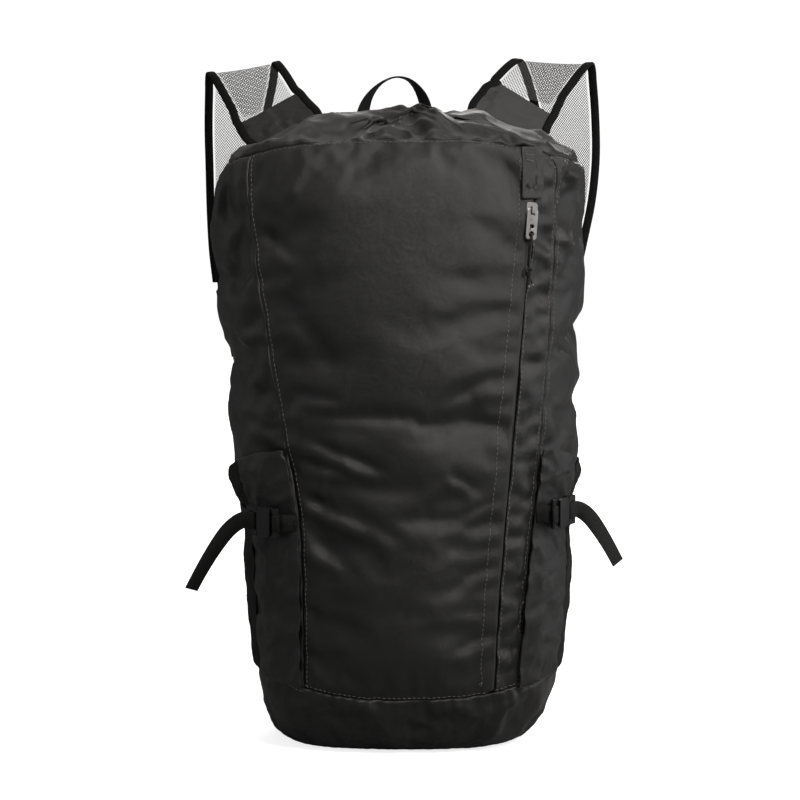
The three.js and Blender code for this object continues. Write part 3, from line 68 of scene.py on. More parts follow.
camera.location = AIM + DISTANCE * Vector((0, -math.cos(ELEVATION), math.sin(ELEVATION)))
camera.rotation_euler = (math.pi / 2 - ELEVATION, 0, 0)
camera.data.lens = camera.data.sensor_width * DISTANCE / FIELD
bpy.context.scene.camera = camera

sweep_mesh = bmesh.new()
bmesh.ops.create_grid(sweep_mesh, x_segments=1, y_segments=1, size=FLOOR_REACH)
bmesh.ops.translate(sweep_mesh, verts=sweep_mesh.verts, vec=(0, 0, -FLOOR_DROP))
far_edge = [e for e in sweep_mesh.edges if all(v.co.y > 0 for v in e.verts)]
wall = bmesh.ops.extrude_edge_only(sweep_mesh, edges=far_edge)["geom"]
wall_top = [v for v in wall if isinstance(v, bmesh.types.BMVert)]
bmesh.ops.translate(sweep_mesh, verts=wall_top, vec=(0, 0, WALL_HEIGHT))
bmesh.ops.bevel(sweep_mesh, geom=far_edge, offset=WALL_BEND, segments=12, profile=0.5, affect="EDGES",
                material=-1)


def new_object(name, mesh):
    """A named object from a finished mesh, smooth shaded."""
    data = bpy.data.meshes.new(name)
    mesh.to_mesh(data)
    mesh.free()
    for polygon in data.polygons:
        polygon.use_smooth = True
    made = bpy.data.objects.new(name, data)
    bpy.context.collection.objects.link(made)
    return made


def material(name, color, roughness, **sockets):
    """A new material with its shader's own values set."""
    made = bpy.data.materials.new(name)
    made.use_nodes = True
    shader = made.node_tree.nodes["Principled BSDF"]
    shader.inputs["Base Color"].default_value = (*color, 1)
    shader.inputs["Roughness"].default_value = roughness
    for socket, value in sockets.items():
        shader.inputs[socket.replace("_", " ")].default_value = value
    return made


# The camera sees the sweep white; the bag sees it grey, as a real one is a good way off.
studio = new_object("studio_sweep", sweep_mesh)
white = material("studio_white", (SWEEP_WHITE, SWEEP_WHITE, SWEEP_WHITE), 0.9, Specular_IOR_Level=0.0)
studio.data.materials.append(white)
to_camera = white.node_tree.nodes.new("ShaderNodeLightPath").outputs["Is Camera Ray"]
tones = white.node_tree.nodes.new("ShaderNodeMapRange")
tones.inputs["To Min"].default_value = SWEEP_GREY
tones.inputs["To Max"].default_value = SWEEP_WHITE
glow = white.node_tree.nodes.new("ShaderNodeMath")
glow.operation = "MULTIPLY"
glow.inputs[1].default_value = SWEEP_GLOW
sweep_shader = white.node_tree.nodes["Principled BSDF"]
sweep_shader.inputs["Emission Color"].default_value = (1, 1, 1, 1)
white.node_tree.links.new(to_camera, tones.inputs["Value"])
white.node_tree.links.new(tones.outputs["Result"], sweep_shader.inputs["Base Color"])
white.node_tree.links.new(to_camera, glow.inputs[0])
white.node_tree.links.new(glow.outputs[0], sweep_shader.inputs["Emission Strength"])

world = bpy.data.worlds.new("studio")
world.use_nodes = True
sky = world.node_tree.nodes["Background"]
sky_to_camera = world.node_tree.nodes.new("ShaderNodeLightPath").outputs["Is Camera Ray"]
sky_strength = world.node_tree.nodes.new("ShaderNodeMapRange")
sky_strength.inputs["To Min"].default_value = SKY_GREY
sky_strength.inputs["To Max"].default_value = 1.0
world.node_tree.links.new(sky_to_camera, sky_strength.inputs["Value"])
world.node_tree.links.new(sky_strength.outputs["Result"], sky.inputs["Strength"])
sky.inputs["Color"].default_value = (1, 1, 1, 1)
bpy.context.scene.world = world
bpy.context.scene.view_settings.view_transform = "Standard"

LIGHTS = {
    "over_right": {"place": (0.9, -1.3, 1.5), "size": (0.6, 0.6), "tint": (1, 0.97, 0.94), "watts": 28},
    "right_side": {"place": (1.7, -0.1, 0.5), "size": (0.3, 1.4), "tint": (1, 1, 1), "watts": 10},
    "left_side": {"place": (-1.7, 0.2, 0.8), "size": (0.3, 1.4), "tint": (1, 0.96, 0.92), "watts": 2},
    "overhead": {"place": (0.3, -0.4, 2.2), "size": (0.9, 0.6), "tint": (1, 0.91, 0.84), "watts": 9},
    "back_top": {"place": (0.1, 1.5, 2.0), "size": (1.8, 0.8), "tint": (1, 0.94, 0.9), "watts": 7},
    "back_fill": {"place": (0.5, 2.3, 1.1), "size": (1, 1), "tint": (1, 0.97, 0.94), "watts": 22},
}
for name, row in LIGHTS.items():
    lamp = bpy.data.lights.new(name, "AREA")
    lamp.shape = "RECTANGLE"
    lamp.size, lamp.size_y = row["size"]
    lamp.color = row["tint"]
    lamp.energy = row["watts"]
    light = bpy.data.objects.new(name, lamp)
    light.location = row["place"]
    light.rotation_euler = (AIM - Vector(row["place"])).to_track_quat("-Z", "Y").to_euler()
    bpy.context.collection.objects.link(light)

# The pull cord
# A round braid doubled through the lower hole of the front zip's metal tab, drawn up in one overhand knot,
# with its two ends cut and melted just below the knot.
CORD = 0.0014
HOLE_BELOW_BAR = 0.0172
BAR_OFF_CLOTH = 0.00323
KNOT_DROP = 0.02625
KNOT_OFF_CLOTH = 0.00315
KNOT_SIZE = Vector((0.0031, 0.0038, 0.0024))
KNOT_STEPS = 48
STRAND_PITCH = 0.0011
CORD_END = 0.0085
CORD_TIPS = [{"spread": 0.0012, "share": 1.0}, {"spread": 0.0036, "share": 0.85}]
TIP_SIZE = 0.55
# The cord's middle line from knot to knot, up the tab and out from it, counted from the middle of its hole.
CORD_ROUTE = [
    (-0.0224, 0.0022), (-0.016, 0.0019), (-0.009, 0.0016), (-0.004, 0.00115), (-0.0016, 0.00125),
    (-0.0002, 0.0022), (0.00025, 0.0033), (-0.0002, 0.0045), (-0.0017, 0.0054), (-0.004, 0.0055),
    (-0.009, 0.0049), (-0.016, 0.0044), (-0.0224, 0.0041)]

hinge = next(joint for joint in frame["joints"] if joint["name"] == "front_pull_hinge")
tab_across = -Vector(hinge["axis"])
tab_faces = frame["nodes"]["zip_pull_tab"].data.polygons
tab_out = max(tab_faces, key=lambda face: -face.area * face.normal.y).normal.copy()
tab_up = tab_out.cross(tab_across)
tab_hole = Vector(hinge["pos_m"]) - HOLE_BELOW_BAR * tab_up - BAR_OFF_CLOTH * tab_out


def between(values, place):
    """The value at a place, counted in stations, on a smooth curve through a list of vectors or numbers."""
    i = min(int(place), len(values) - 2)
    t = place - i
    a, b, c, d = values[max(i - 1, 0)], values[i], values[i + 1], values[min(i + 2, len(values) - 1)]
    second, third = 2 * a - 5 * b + 4 * c - d, 3 * b - a - 3 * c + d
    return 0.5 * (2 * b + (c - a) * t + second * t ** 2 + third * t ** 3)


def evenly(spacing, places, *others):
    """A route, and what runs along with it, at even steps of about the given spacing."""
    fine = [i / 8 for i in range(8 * (len(places) - 1) + 1)]
    walked = [0]
    for a, b in zip(fine, fine[1:]):
        walked.append(walked[-1] + (between(places, b) - between(places, a)).length)
    count = max(2, round(walked[-1] / spacing))
    stops, i = [], 0
    for k in range(count + 1):
        target = walked[-1] * k / count
        while i + 2 < len(fine) and walked[i + 1] < target:
            i += 1
        share = (target - walked[i]) / max(walked[i + 1] - walked[i], 1e-9)
        stops.append(fine[i] + (fine[i + 1] - fine[i]) * share)
    return [[between(values, stop) for stop in stops] for values in (places, *others)]


def round_section(diameter, sides):
    """Section of a cord, as places across and through it."""
    turns = [2 * math.pi * i / sides for i in range(sides)]
    return [(diameter / 2 * math.cos(turn), diameter / 2 * math.sin(turn)) for turn in turns]


def sweep(mesh, section, places, acrosses, scales=None, closed=False):
    """Carries a section along a route. Each point keeps how far along, across and through it lies."""
    lay = mesh.verts.layers.float_vector["lay"]
    corner = mesh.verts.layers.int["corner"]
    ring = [mesh.verts.new() for _ in section]
    for i, vertex in enumerate(ring):
        vertex[corner] = i
    edges = [mesh.edges.new((ring[i - 1], ring[i])) for i in range(len(ring))]
    first_edges = edges
    walked = 0
    last = len(places) - 1
    for i, place in enumerate(places):
        if i:
            made = bmesh.ops.extrude_edge_only(mesh, edges=edges)["geom"]
            ring = [x for x in made if isinstance(x, bmesh.types.BMVert)]
            new_ring = set(ring)
            edges = [x for x in made if isinstance(x, bmesh.types.BMEdge) and new_ring.issuperset(x.verts)]
            walked += (place - places[i - 1]).length
        along = (places[min(i + 1, last)] - places[max(i - 1, 0)]).normalized()
        if closed and i in (0, last):
            along = (places[1] - places[last - 1]).normalized()
        flat = (acrosses[i] - acrosses[i].dot(along) * along).normalized()
        through = along.cross(flat)
        scale = scales[i] if scales else 1
        for vertex in ring:
            u, w = (scale * part for part in section[vertex[corner]])
            vertex.co = place + flat * u + through * w
            vertex[lay] = (walked, u, w)
    if not closed:
        bmesh.ops.contextual_create(mesh, geom=first_edges)
        bmesh.ops.contextual_create(mesh, geom=edges)


def strip_mesh():
    """An empty mesh that can tell its material how each point lies on a cord or a tape."""
    mesh = bmesh.new()
    mesh.verts.layers.float_vector.new("lay")
    mesh.verts.layers.int.new("corner")
    return mesh


def fit(mesh, name, finish, nodes=(), body="pack"):
    """Makes a piece of a finished mesh: welded, turned outwards, riding on its body in place of its nodes."""
    bmesh.ops.remove_doubles(mesh, verts=mesh.verts, dist=1e-6)
    bmesh.ops.recalc_face_normals(mesh, faces=mesh.faces)
    piece = new_object(name, mesh)
    piece.data.materials.append(finish)
    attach(piece, body)
    if nodes:
        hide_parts(*nodes)
    return piece


class Finish:
    """Builds the nodes of a material, one after another."""

    def __init__(self, made):
        self.tree = made.node_tree
        self.shader = self.tree.nodes["Principled BSDF"]

    def node(self, kind, inputs=(), **settings):
        """A node with its settings and inputs, each a value or another's output; gives its first output."""
        made = self.tree.nodes.new("ShaderNode" + kind)
        for setting, value in settings.items():
            setattr(made, setting, value)
        for socket, value in dict(inputs).items():
            if isinstance(value, bpy.types.NodeSocket):
                self.tree.links.new(value, made.inputs[socket])
            else:
                made.inputs[socket].default_value = value
        return made.outputs[0]

    def math(self, operation, a, b=0.0):
        return self.node("Math", {0: a, 1: b}, operation=operation)

    def lay(self):
        """Distances along and across the cloth, tape or cord, in metres, from the piece's own attribute."""
        made = self.tree.nodes.new("ShaderNodeAttribute")
        made.attribute_name = "lay"
        parts = self.tree.nodes.new("ShaderNodeSeparateXYZ")
        self.tree.links.new(made.outputs["Vector"], parts.inputs[0])
        return parts.outputs

    def place(self):
        return self.tree.nodes.new("ShaderNodeTexCoord").outputs["Object"]

    def clouds(self, scale, detail=3.0, distortion=0.0):
        """Soft noise over the object, about 0.5 on average; scale is blotches a metre."""
        inputs = {"Vector": self.place(), "Scale": scale, "Detail": detail, "Distortion": distortion}
        return self.node("TexNoise", inputs)

    def waves(self, distance, pitch):
        """A sine along a distance."""
        return self.math("SINE", self.math("MULTIPLY", distance, 2 * math.pi / pitch))

    def bump(self, height, distance, strength=1.0):
        """Adds a relief of the given height in metres to what is there already."""
        inputs = {"Height": height, "Distance": distance, "Strength": strength}
        old = self.shader.inputs["Normal"]
        if old.is_linked:
            inputs["Normal"] = old.links[0].from_socket
        self.tree.links.new(self.node("Bump", inputs), old)

    def vary(self, socket, low, high, factor):
        """Drives a shader input between two values by a factor from 0 to 1."""
        kind = "RGBA" if isinstance(low, tuple) else "FLOAT"
        made = self.tree.nodes.new("ShaderNodeMix")
        made.data_type = kind
        sockets = [s for s in made.inputs if s.enabled]
        self.tree.links.new(factor, sockets[0])
        sockets[1].default_value = (*low, 1) if kind == "RGBA" else low
        sockets[2].default_value = (*high, 1) if kind == "RGBA" else high
        output = next(s for s in made.outputs if s.enabled)
        self.tree.links.new(output, self.shader.inputs[socket])


braid = material("braided_cord", (0.008, 0.008, 0.008), 0.65, Sheen_Weight=0.05, Specular_IOR_Level=0.3)
finish = Finish(braid)
along, across, through = finish.lay()
strand_a = finish.waves(finish.math("ADD", along, across), STRAND_PITCH)
strand_b = finish.waves(finish.math("SUBTRACT", along, across), STRAND_PITCH)
strands = finish.math("MAXIMUM", strand_a, strand_b)
finish.bump(strands, 0.0001)
# The cord's colour is lighter on its strands and darker between them: painted shade in the grooves of the
# braid, laid over the relief.
finish.vary("Base Color", (0.005, 0.005, 0.005), (0.03, 0.029, 0.028), strands)

cord_points = [tab_hole + up * tab_up + out * tab_out for up, out in CORD_ROUTE]
(cord_path,) = evenly(0.001, cord_points)
cord_mesh = strip_mesh()
sweep(cord_mesh, round_section(CORD, 10), cord_path, [tab_across] * len(cord_path))
pull_cord = fit(cord_mesh, "pull_cord", braid, ["zip_pull_cord"], "front_pull")

knot_middle = tab_hole - KNOT_DROP * tab_up + KNOT_OFF_CLOTH * tab_out
knot_mesh = strip_mesh()
loop_reach = [(size - CORD / 2) / 3 for size in KNOT_SIZE]


def knot_point(turn):
    """A place on the knot's path, a trefoil squeezed into its size."""
    x = (math.sin(turn) + 2 * math.sin(2 * turn)) * loop_reach[0]
    y = (math.cos(turn) - 2 * math.cos(2 * turn)) * loop_reach[1]
    z = -math.sin(3 * turn) * loop_reach[2] * 3
    return knot_middle + x * tab_across + y * tab_up + z * tab_out


knot_path = [knot_point(2 * math.pi * i / KNOT_STEPS) for i in range(KNOT_STEPS + 1)]
sweep(knot_mesh, round_section(CORD, 8), knot_path, [tab_out] * len(knot_path), closed=True)
tip_places = []
for tip in CORD_TIPS:
    start = knot_middle - 0.5 * KNOT_SIZE.y * tab_up
    end = start + tip["spread"] * (tab_across + 0.3 * tab_out) - tip["share"] * CORD_END * tab_up
    tip_places.append(end)
    (end_path,) = evenly(0.0012, [start, start.lerp(end, 0.5) + 0.0004 * tab_across, end])
    narrowing = [1.0] * (len(end_path) - 1) + [TIP_SIZE]
    sweep(knot_mesh, round_section(CORD, 8), end_path, [tab_across] * len(end_path), narrowing)
melted = material("melted_ends", (0.25, 0.24, 0.23), 0.35)
finish = Finish(melted)
finish.vary("Roughness", 0.25, 0.45, finish.clouds(900, 2))
tips = bmesh.new()
for place in tip_places:
    at = Matrix.Translation(place) @ Matrix.Scale(TIP_SIZE * CORD, 4)
    bmesh.ops.create_uvsphere(tips, u_segments=8, v_segments=6, radius=1, matrix=at)
cord_tips = fit(tips, "cord_tips", melted, body="front_pull")
pull_knot = fit(knot_mesh, "pull_knot", braid, ["zip_pull_knot"], "front_pull")

# The sewn body
# Seven panels of thin coated nylon, sewn inside out and turned, with no lining or frame. Filled, the cloth
# bellies out between its seams, crumples where it has to spare, and puckers where the thread draws it up.
BODY_NODES = ["front_panel", "front_strip", "side_panel_right", "back_panel", "side_panel_left", "base_panel",
              "top_panel"]
FRONT, STRIP, RIGHT, BACK, LEFT, BASE, TOP = range(7)
SLOT = 7
MIDDLE = Vector((0, -0.025, 0))
MIDDLE_HEIGHTS = (0.08, 0.4)
LEAST_FACE = 0.0025
WELD = 2e-5
SEAM_GAP = 0.0007
CLOTH = 0.0009


def outer_skin(whole, node, index, layer):
    """Adds the outside faces of a panel's solid, as quads that know their panel."""
    skin = bmesh.new()
    skin.from_mesh(frame["nodes"][node].data)
    bmesh.ops.remove_doubles(skin, verts=skin.verts, dist=WELD)
    skin.normal_update()
    drop = []
    low, high = MIDDLE_HEIGHTS
    for face in skin.faces:
        place = face.calc_center_median()
        inside = Vector((MIDDLE.x, MIDDLE.y, min(max(place.z, low), high)))
        if face.normal.dot(place - inside) <= 0 or min(e.calc_length() for e in face.edges) < LEAST_FACE:
            drop.append(face)
    bmesh.ops.delete(skin, geom=drop, context="FACES")
    diagonals = [e for e in skin.edges if len(e.link_faces) == 2 and all(
        e.calc_length() >= max(x.calc_length() for x in f.edges) - 1e-9 for f in e.link_faces)]
    bmesh.ops.dissolve_edges(skin, edges=diagonals, use_verts=False)
    copy = bpy.data.meshes.new("skin")
    skin.to_mesh(copy)
    skin.free()
    known = len(whole.faces)
    whole.from_mesh(copy)
    whole.faces.ensure_lookup_table()
    for face in whole.faces[known:]:
        face[layer] = index
    bpy.data.meshes.remove(copy)


def mark_new(mesh, known, layer):
    """Says that the faces made since belong to a zip's slot."""
    for face in mesh.faces:
        if face not in known:
            face[layer] = SLOT


body = bmesh.new()
panel_layer = body.faces.layers.int.new("panel")
for index, node in enumerate(BODY_NODES):
    outer_skin(body, node, index, panel_layer)
bmesh.ops.remove_doubles(body, verts=body.verts, dist=SEAM_GAP)

# The two open zip slots are closed with faces of their own, so that the bag can hold its filling while it is
# shaped, and opened again afterwards.
rim = [e for e in body.edges if e.is_boundary]
front_rim = [e for e in rim if e.verts[0].co.y < MIDDLE.y and e.link_faces[0][panel_layer] in (FRONT, STRIP)]
back_rim = [e for e in rim if e.verts[0].co.y > MIDDLE.y]
BACK_SLOT = 0.95 * max(abs(v.co.x) for e in back_rim for v in e.verts)
known_faces = set(body.faces)
bmesh.ops.bridge_loops(body, edges=front_rim)
bmesh.ops.bridge_loops(body, edges=[e for e in back_rim if max(abs(v.co.x) for v in e.verts) < BACK_SLOT])
bmesh.ops.holes_fill(body, edges=[e for e in body.edges if e.is_boundary], sides=6)
mark_new(body, known_faces, panel_layer)
bmesh.ops.recalc_face_normals(body, faces=body.faces)

shell = new_object("body_form", body)
finer = shell.modifiers.new("finer", "SUBSURF")
finer.levels = finer.render_levels = 2


def apply_modifiers(thing):
    """Makes what the modifiers show the mesh itself."""
    shown = thing.evaluated_get(bpy.context.evaluated_depsgraph_get())
    mesh = bpy.data.meshes.new_from_object(shown)
    thing.modifiers.clear()
    thing.data = mesh


apply_modifiers(shell)
rest_shape = [v.co.copy() for v in shell.data.vertices]
panels_around = [set() for _ in rest_shape]
for polygon, panel in zip(shell.data.polygons, shell.data.attributes["panel"].data):
    for corner_index in polygon.vertices:
        panels_around[corner_index].add(panel.value)

# How firmly each place is held while the cloth is filled: zips wholly, seams and the foot of the bag nearly.
FOOT = 0.012
SEAM_HOLD = 0.88
held = shell.vertex_groups.new(name="held")
gathered = shell.vertex_groups.new(name="gathered")
for index, (place, around) in enumerate(zip(rest_shape, panels_around)):
    firm = 1.0 if SLOT in around else SEAM_HOLD if len(around) > 1 else 0
    held.add([index], max(firm, 1 - place.z / FOOT, 0), "REPLACE")
    if len(around) > 1:
        gathered.add([index], 1.0, "REPLACE")

# Filling it: more cloth than the form needs, blown out against its stitched seams.
EASE = 0.055
GATHER = 0.03
FRAMES = 26
SWELL_KEPT = 0.4
FARTHEST_MOVE = 0.009
filling = shell.modifiers.new("filling", "CLOTH")
cloth = filling.settings
cloth.quality = 4
cloth.mass = 0.1
cloth.air_damping = 4
cloth.tension_stiffness = cloth.compression_stiffness = 18
cloth.shear_stiffness = 6
cloth.bending_stiffness = 0.05
cloth.vertex_group_mass = "held"
cloth.pin_stiffness = 1
cloth.shrink_min = -EASE
cloth.shrink_max = GATHER
cloth.vertex_group_shrink = "gathered"
cloth.use_pressure = True
cloth.uniform_pressure_force = 3
cloth.effector_weights.gravity = 0
filling.point_cache.frame_end = FRAMES
for step in range(1, FRAMES + 1):
    bpy.context.scene.frame_set(step)
apply_modifiers(shell)
bpy.context.scene.frame_set(1)
moves = [vertex.co - rest for vertex, rest in zip(shell.data.vertices, rest_shape)]
normals = [vertex.normal.copy() for vertex in shell.data.vertices]
swell = sum(move.dot(normal) for move, normal in zip(moves, normals)) / len(moves)
for vertex, rest, move, normal in zip(shell.data.vertices, rest_shape, moves, normals):
    move = move - (1 - SWELL_KEPT) * swell * min(1, move.length / max(swell, 1e-6)) * normal
    if move.length > 0:
        vertex.co = rest + move * (math.tanh(move.length / FARTHEST_MOVE) * FARTHEST_MOVE / move.length)
smoother = shell.modifiers.new("smoother", "SUBSURF")
smoother.levels = smoother.render_levels = 1
apply_modifiers(shell)

# The folds that this bag shows. Each runs from one place to another, seen square on, x and z in metres; a
# negative depth is a crease, a positive one a ridge.
FOLDS = {
    "front": [
        {"start": (-0.098, 0.376), "end": (-0.076, 0.360), "width": 0.0045, "depth": -0.0027},
        {"start": (-0.085, 0.331), "end": (-0.051, 0.288), "width": 0.0075, "depth": -0.0023},
        {"start": (-0.074, 0.265), "end": (-0.048, 0.262), "width": 0.0037, "depth": -0.0016},
        {"start": (-0.066, 0.232), "end": (-0.018, 0.213), "width": 0.0045, "depth": -0.0032},
        {"start": (-0.074, 0.218), "end": (-0.042, 0.211), "width": 0.0037, "depth": -0.0022},
        {"start": (-0.069, 0.191), "end": (-0.027, 0.172), "width": 0.0045, "depth": -0.0027},
        {"start": (-0.044, 0.188), "end": (-0.005, 0.164), "width": 0.0053, "depth": -0.0020},
        {"start": (-0.070, 0.168), "end": (-0.036, 0.138), "width": 0.0060, "depth": -0.0018},
        {"start": (0.028, 0.261), "end": (0.064, 0.279), "width": 0.0053, "depth": -0.0018},
        {"start": (0.033, 0.209), "end": (0.052, 0.197), "width": 0.0037, "depth": -0.0016},
        {"start": (0.040, 0.180), "end": (0.063, 0.190), "width": 0.0037, "depth": -0.0014},
        {"start": (0.034, 0.129), "end": (0.058, 0.144), "width": 0.0045, "depth": -0.0016},
        {"start": (0.036, 0.084), "end": (0.058, 0.094), "width": 0.0045, "depth": -0.0013},
        {"start": (0.121, 0.434), "end": (0.112, 0.398), "width": 0.0045, "depth": -0.0032},
        {"start": (0.105, 0.430), "end": (0.123, 0.414), "width": 0.0037, "depth": 0.0027},
        {"start": (0.104, 0.376), "end": (0.126, 0.362), "width": 0.0045, "depth": 0.0031},
        {"start": (0.097, 0.330), "end": (0.109, 0.345), "width": 0.0037, "depth": -0.0022},
        {"start": (0.128, 0.388), "end": (0.116, 0.348), "width": 0.0053, "depth": -0.0031},
        {"start": (0.120, 0.310), "end": (0.100, 0.285), "width": 0.0053, "depth": -0.0025},
        {"start": (-0.129, 0.420), "end": (-0.132, 0.376), "width": 0.0053, "depth": -0.0027},
        {"start": (-0.118, 0.352), "end": (-0.127, 0.304), "width": 0.0053, "depth": -0.0023},
        {"start": (-0.106, 0.300), "end": (-0.120, 0.262), "width": 0.0053, "depth": -0.0022},
    ],
    "back": [
        {"start": (0.060, 0.430), "end": (0.030, 0.340), "width": 0.0090, "depth": -0.0027},
        {"start": (-0.062, 0.430), "end": (-0.024, 0.330), "width": 0.0090, "depth": -0.0029},
        {"start": (-0.094, 0.400), "end": (-0.070, 0.300), "width": 0.0075, "depth": -0.0023},
        {"start": (0.092, 0.395), "end": (0.074, 0.270), "width": 0.0075, "depth": -0.0025},
        {"start": (-0.090, 0.110), "end": (-0.030, 0.180), "width": 0.0075, "depth": -0.0027},
        {"start": (0.088, 0.105), "end": (0.024, 0.165), "width": 0.0083, "depth": -0.0025},
        {"start": (-0.020, 0.230), "end": (0.060, 0.215), "width": 0.0067, "depth": -0.0018},
    ],
}
# How much each panel is crumpled all over, and drawn up along its seams, in metres.
CRUMPLE = {FRONT: 0.0016, STRIP: 0.0018, RIGHT: 0.0028, BACK: 0.0022, LEFT: 0.0026, BASE: 0.0034, TOP: 0.0050,
           SLOT: 0}
PUCKER = {FRONT: 0.0009, STRIP: 0.0011, RIGHT: 0.0012, BACK: 0.0010, LEFT: 0.0012, BASE: 0.0026, TOP: 0.0024,
          SLOT: 0}
# Crumples fade away from the seams, down to a share of their height where the cloth is taut.
TAUT = {FRONT: 0.2, STRIP: 1, RIGHT: 0.75, BACK: 0.6, LEFT: 0.75, BASE: 0.7, TOP: 0.9, SLOT: 1}
TAUT_LENGTH = 0.028
PUCKER_LENGTH = 0.013
PUCKER_PITCH = 0.0058
CREASE_SIZE = 0.052
SMALL_CREASE_SIZE = 0.023
SEAM_FADE = 0.005
GROOVE = 0.0005
GROOVE_WIDTH = 0.0016
SLIT = 0.0017


def creases(place, size):
    """Sharp crossing fold lines of crumpled cloth, from -0.5 between them to 0.5 on them."""
    spot = place / size
    spot = spot + 0.5 * noise.noise_vector(0.6 * spot)
    return 0.5 - 2.2 * min(abs(noise.noise(spot)), 0.45)


def fold_depth(fold, place):
    """How far a fold moves the cloth at a place."""
    start, end = (Vector(fold[key]) for key in ("start", "end"))
    spot = Vector((place.x, place.z))
    line = end - start
    share = (spot - start).dot(line) / line.length_squared
    beside = ((spot.x - start.x) * line.y - (spot.y - start.y) * line.x) / line.length / fold["width"]
    if not -0.4 < share < 1.4 or abs(beside) > 4:
        return 0
    taper = 1 / (1 + math.exp(-14 * (share + 0.02))) / (1 + math.exp(14 * (share - 0.98)))
    return fold["depth"] * taper * (math.exp(-beside ** 2) - 0.55 * math.exp(-((beside - 1.7) ** 2)))


body = bmesh.new()
body.from_mesh(shell.data)
bpy.data.objects.remove(shell)
panel_layer = body.faces.layers.int["panel"]
body.verts.ensure_lookup_table()
body.normal_update()
around = [{face[panel_layer] for face in v.link_faces} for v in body.verts]


def finder(indices):
    """Finds the nearest of some of the body's vertices."""
    tree = KDTree(len(indices))
    for index in indices:
        tree.insert(body.verts[index].co, index)
    tree.balance()
    return tree


seams = finder([i for i, panels in enumerate(around) if len(panels) > 1 and SLOT not in panels])
left_lip = finder([i for i, panels in enumerate(around) if panels == {FRONT, SLOT}])
right_lip = finder([i for i, panels in enumerate(around) if panels == {STRIP, SLOT}])


def nearest_on(lip, place):
    """The nearest place on a zip's lip, drawn smooth over its three nearest vertices."""
    near = lip.find_n(place, 3)
    weights = [1 / (distance + 1e-5) for _, _, distance in near]
    return sum((weight * spot for weight, (spot, _, _) in zip(weights, near)), Vector()) / sum(weights)


# What lies on the cloth keeps it down.
COVERING = [node for node in frame["nodes"] if node not in BODY_NODES and "tape" not in node]
LEAST_ROOM = 0.0007
FEEL = 0.006
FEEL_REACH = 0.03
SEWN_ROOM = 0.0022
SEWN_SINK = 0.0002
covering = bmesh.new()
for node in COVERING:
    covering.from_mesh(frame["nodes"][node].data)
covers = BVHTree.FromBMesh(covering)
covering.free()

FLAP_DRAW = 0.012
FLAP_RISE = 0.0012
new_places = []
for index, vertex in enumerate(body.verts):
    place, normal, panels = vertex.co.copy(), vertex.normal.copy(), around[index]
    panel = min(panels)
    seam_place, _, from_seam = seams.find(place)
    small_creases = creases(place + Vector((3, 1, 2)), SMALL_CREASE_SIZE)
    out = CRUMPLE[panel] * (creases(place, CREASE_SIZE) + 0.5 * small_creases)
    out *= TAUT[panel] + (1 - TAUT[panel]) * math.exp(-from_seam / TAUT_LENGTH)
    fade = (1 - math.exp(-((from_seam / SEAM_FADE) ** 2))) * min(1, place.z / (2 * FOOT))
    out *= fade
    out += PUCKER[panel] * noise.noise(seam_place / PUCKER_PITCH) * math.exp(-from_seam / PUCKER_LENGTH)
    out -= GROOVE * math.exp(-((from_seam / GROOVE_WIDTH) ** 2))
    if panel != TOP and panel != BASE:
        for fold in FOLDS["front" if normal.y < 0.35 and place.y < 0.01 else "back"]:
            out += fade * fold_depth(fold, place)
    if SLOT in panels:
        out = 0
    covered, _, _, distance = covers.ray_cast(place - FEEL * normal, normal, FEEL_REACH)
    if covered:
        room = distance - FEEL
        out = min(max(out, -SEWN_SINK) if room < SEWN_ROOM else out, room - LEAST_ROOM)
    place += out * normal
    if panels <= {FRONT, SLOT} and FRONT in panels:
        lip_place = nearest_on(left_lip, place)
        from_lip = (place - lip_place).length
        if from_lip < FLAP_DRAW:
            width = nearest_on(right_lip, lip_place) - lip_place
            share = (1 - from_lip / FLAP_DRAW) ** 1.5 * max(0, 1 - SLIT / width.length)
            place += share * width + FLAP_RISE * math.sin(math.pi * min(1, share)) * normal
    place.z = max(place.z, 0)
    new_places.append(place)
for vertex, place in zip(body.verts, new_places):
    vertex.co = place
body.normal_update()


def seam_line(first, second):
    """The places along the seam between two panels, in order; the longest run, where it has several."""
    edges = [e for e in body.edges if {f[panel_layer] for f in e.link_faces} == {first, second}]
    steps = {}
    for edge in edges:
        a, b = edge.verts
        steps.setdefault(a, []).append(b)
        steps.setdefault(b, []).append(a)
    best = []
    ends = [v for v, others in steps.items() if len(others) == 1] or list(steps)[:1]
    for end in ends:
        line, seen = [end], {end}
        while True:
            following = [v for v in steps[line[-1]] if v not in seen]
            if not following:
                break
            line.append(following[0])
            seen.add(following[0])
        best = max(best, line, key=len)
    return [v.co.copy() for v in best]


body_surface = BVHTree.FromBMesh(body)

shell_cloth = material("coated_nylon", (0.012, 0.0118, 0.012), 0.4, Sheen_Weight=0.03, Specular_IOR_Level=0.4)
finish = Finish(shell_cloth)
warp, weft, _ = finish.lay()
THREADS = 0.00042
weave = finish.math("MULTIPLY", finish.waves(warp, THREADS), finish.waves(weft, THREADS))
finish.bump(weave, 0.00005, 0.6)
crinkle = finish.clouds(60, 4, 1.2)
finish.bump(crinkle, 0.0008, 0.4)
finish.bump(finish.clouds(210, 3, 0.8), 0.0002, 0.4)
finish.vary("Roughness", 0.37, 0.52, crinkle)
finish.vary("Base Color", (0.010, 0.0098, 0.010), (0.015, 0.0146, 0.0146), finish.clouds(9, 2))

# Each panel's cloth lies flat in two directions: its weave follows them.
LAYS = {FRONT: (0, 2), STRIP: (0, 2), RIGHT: (1, 2), BACK: (0, 2), LEFT: (1, 2), BASE: (0, 1), TOP: (0, 1)}


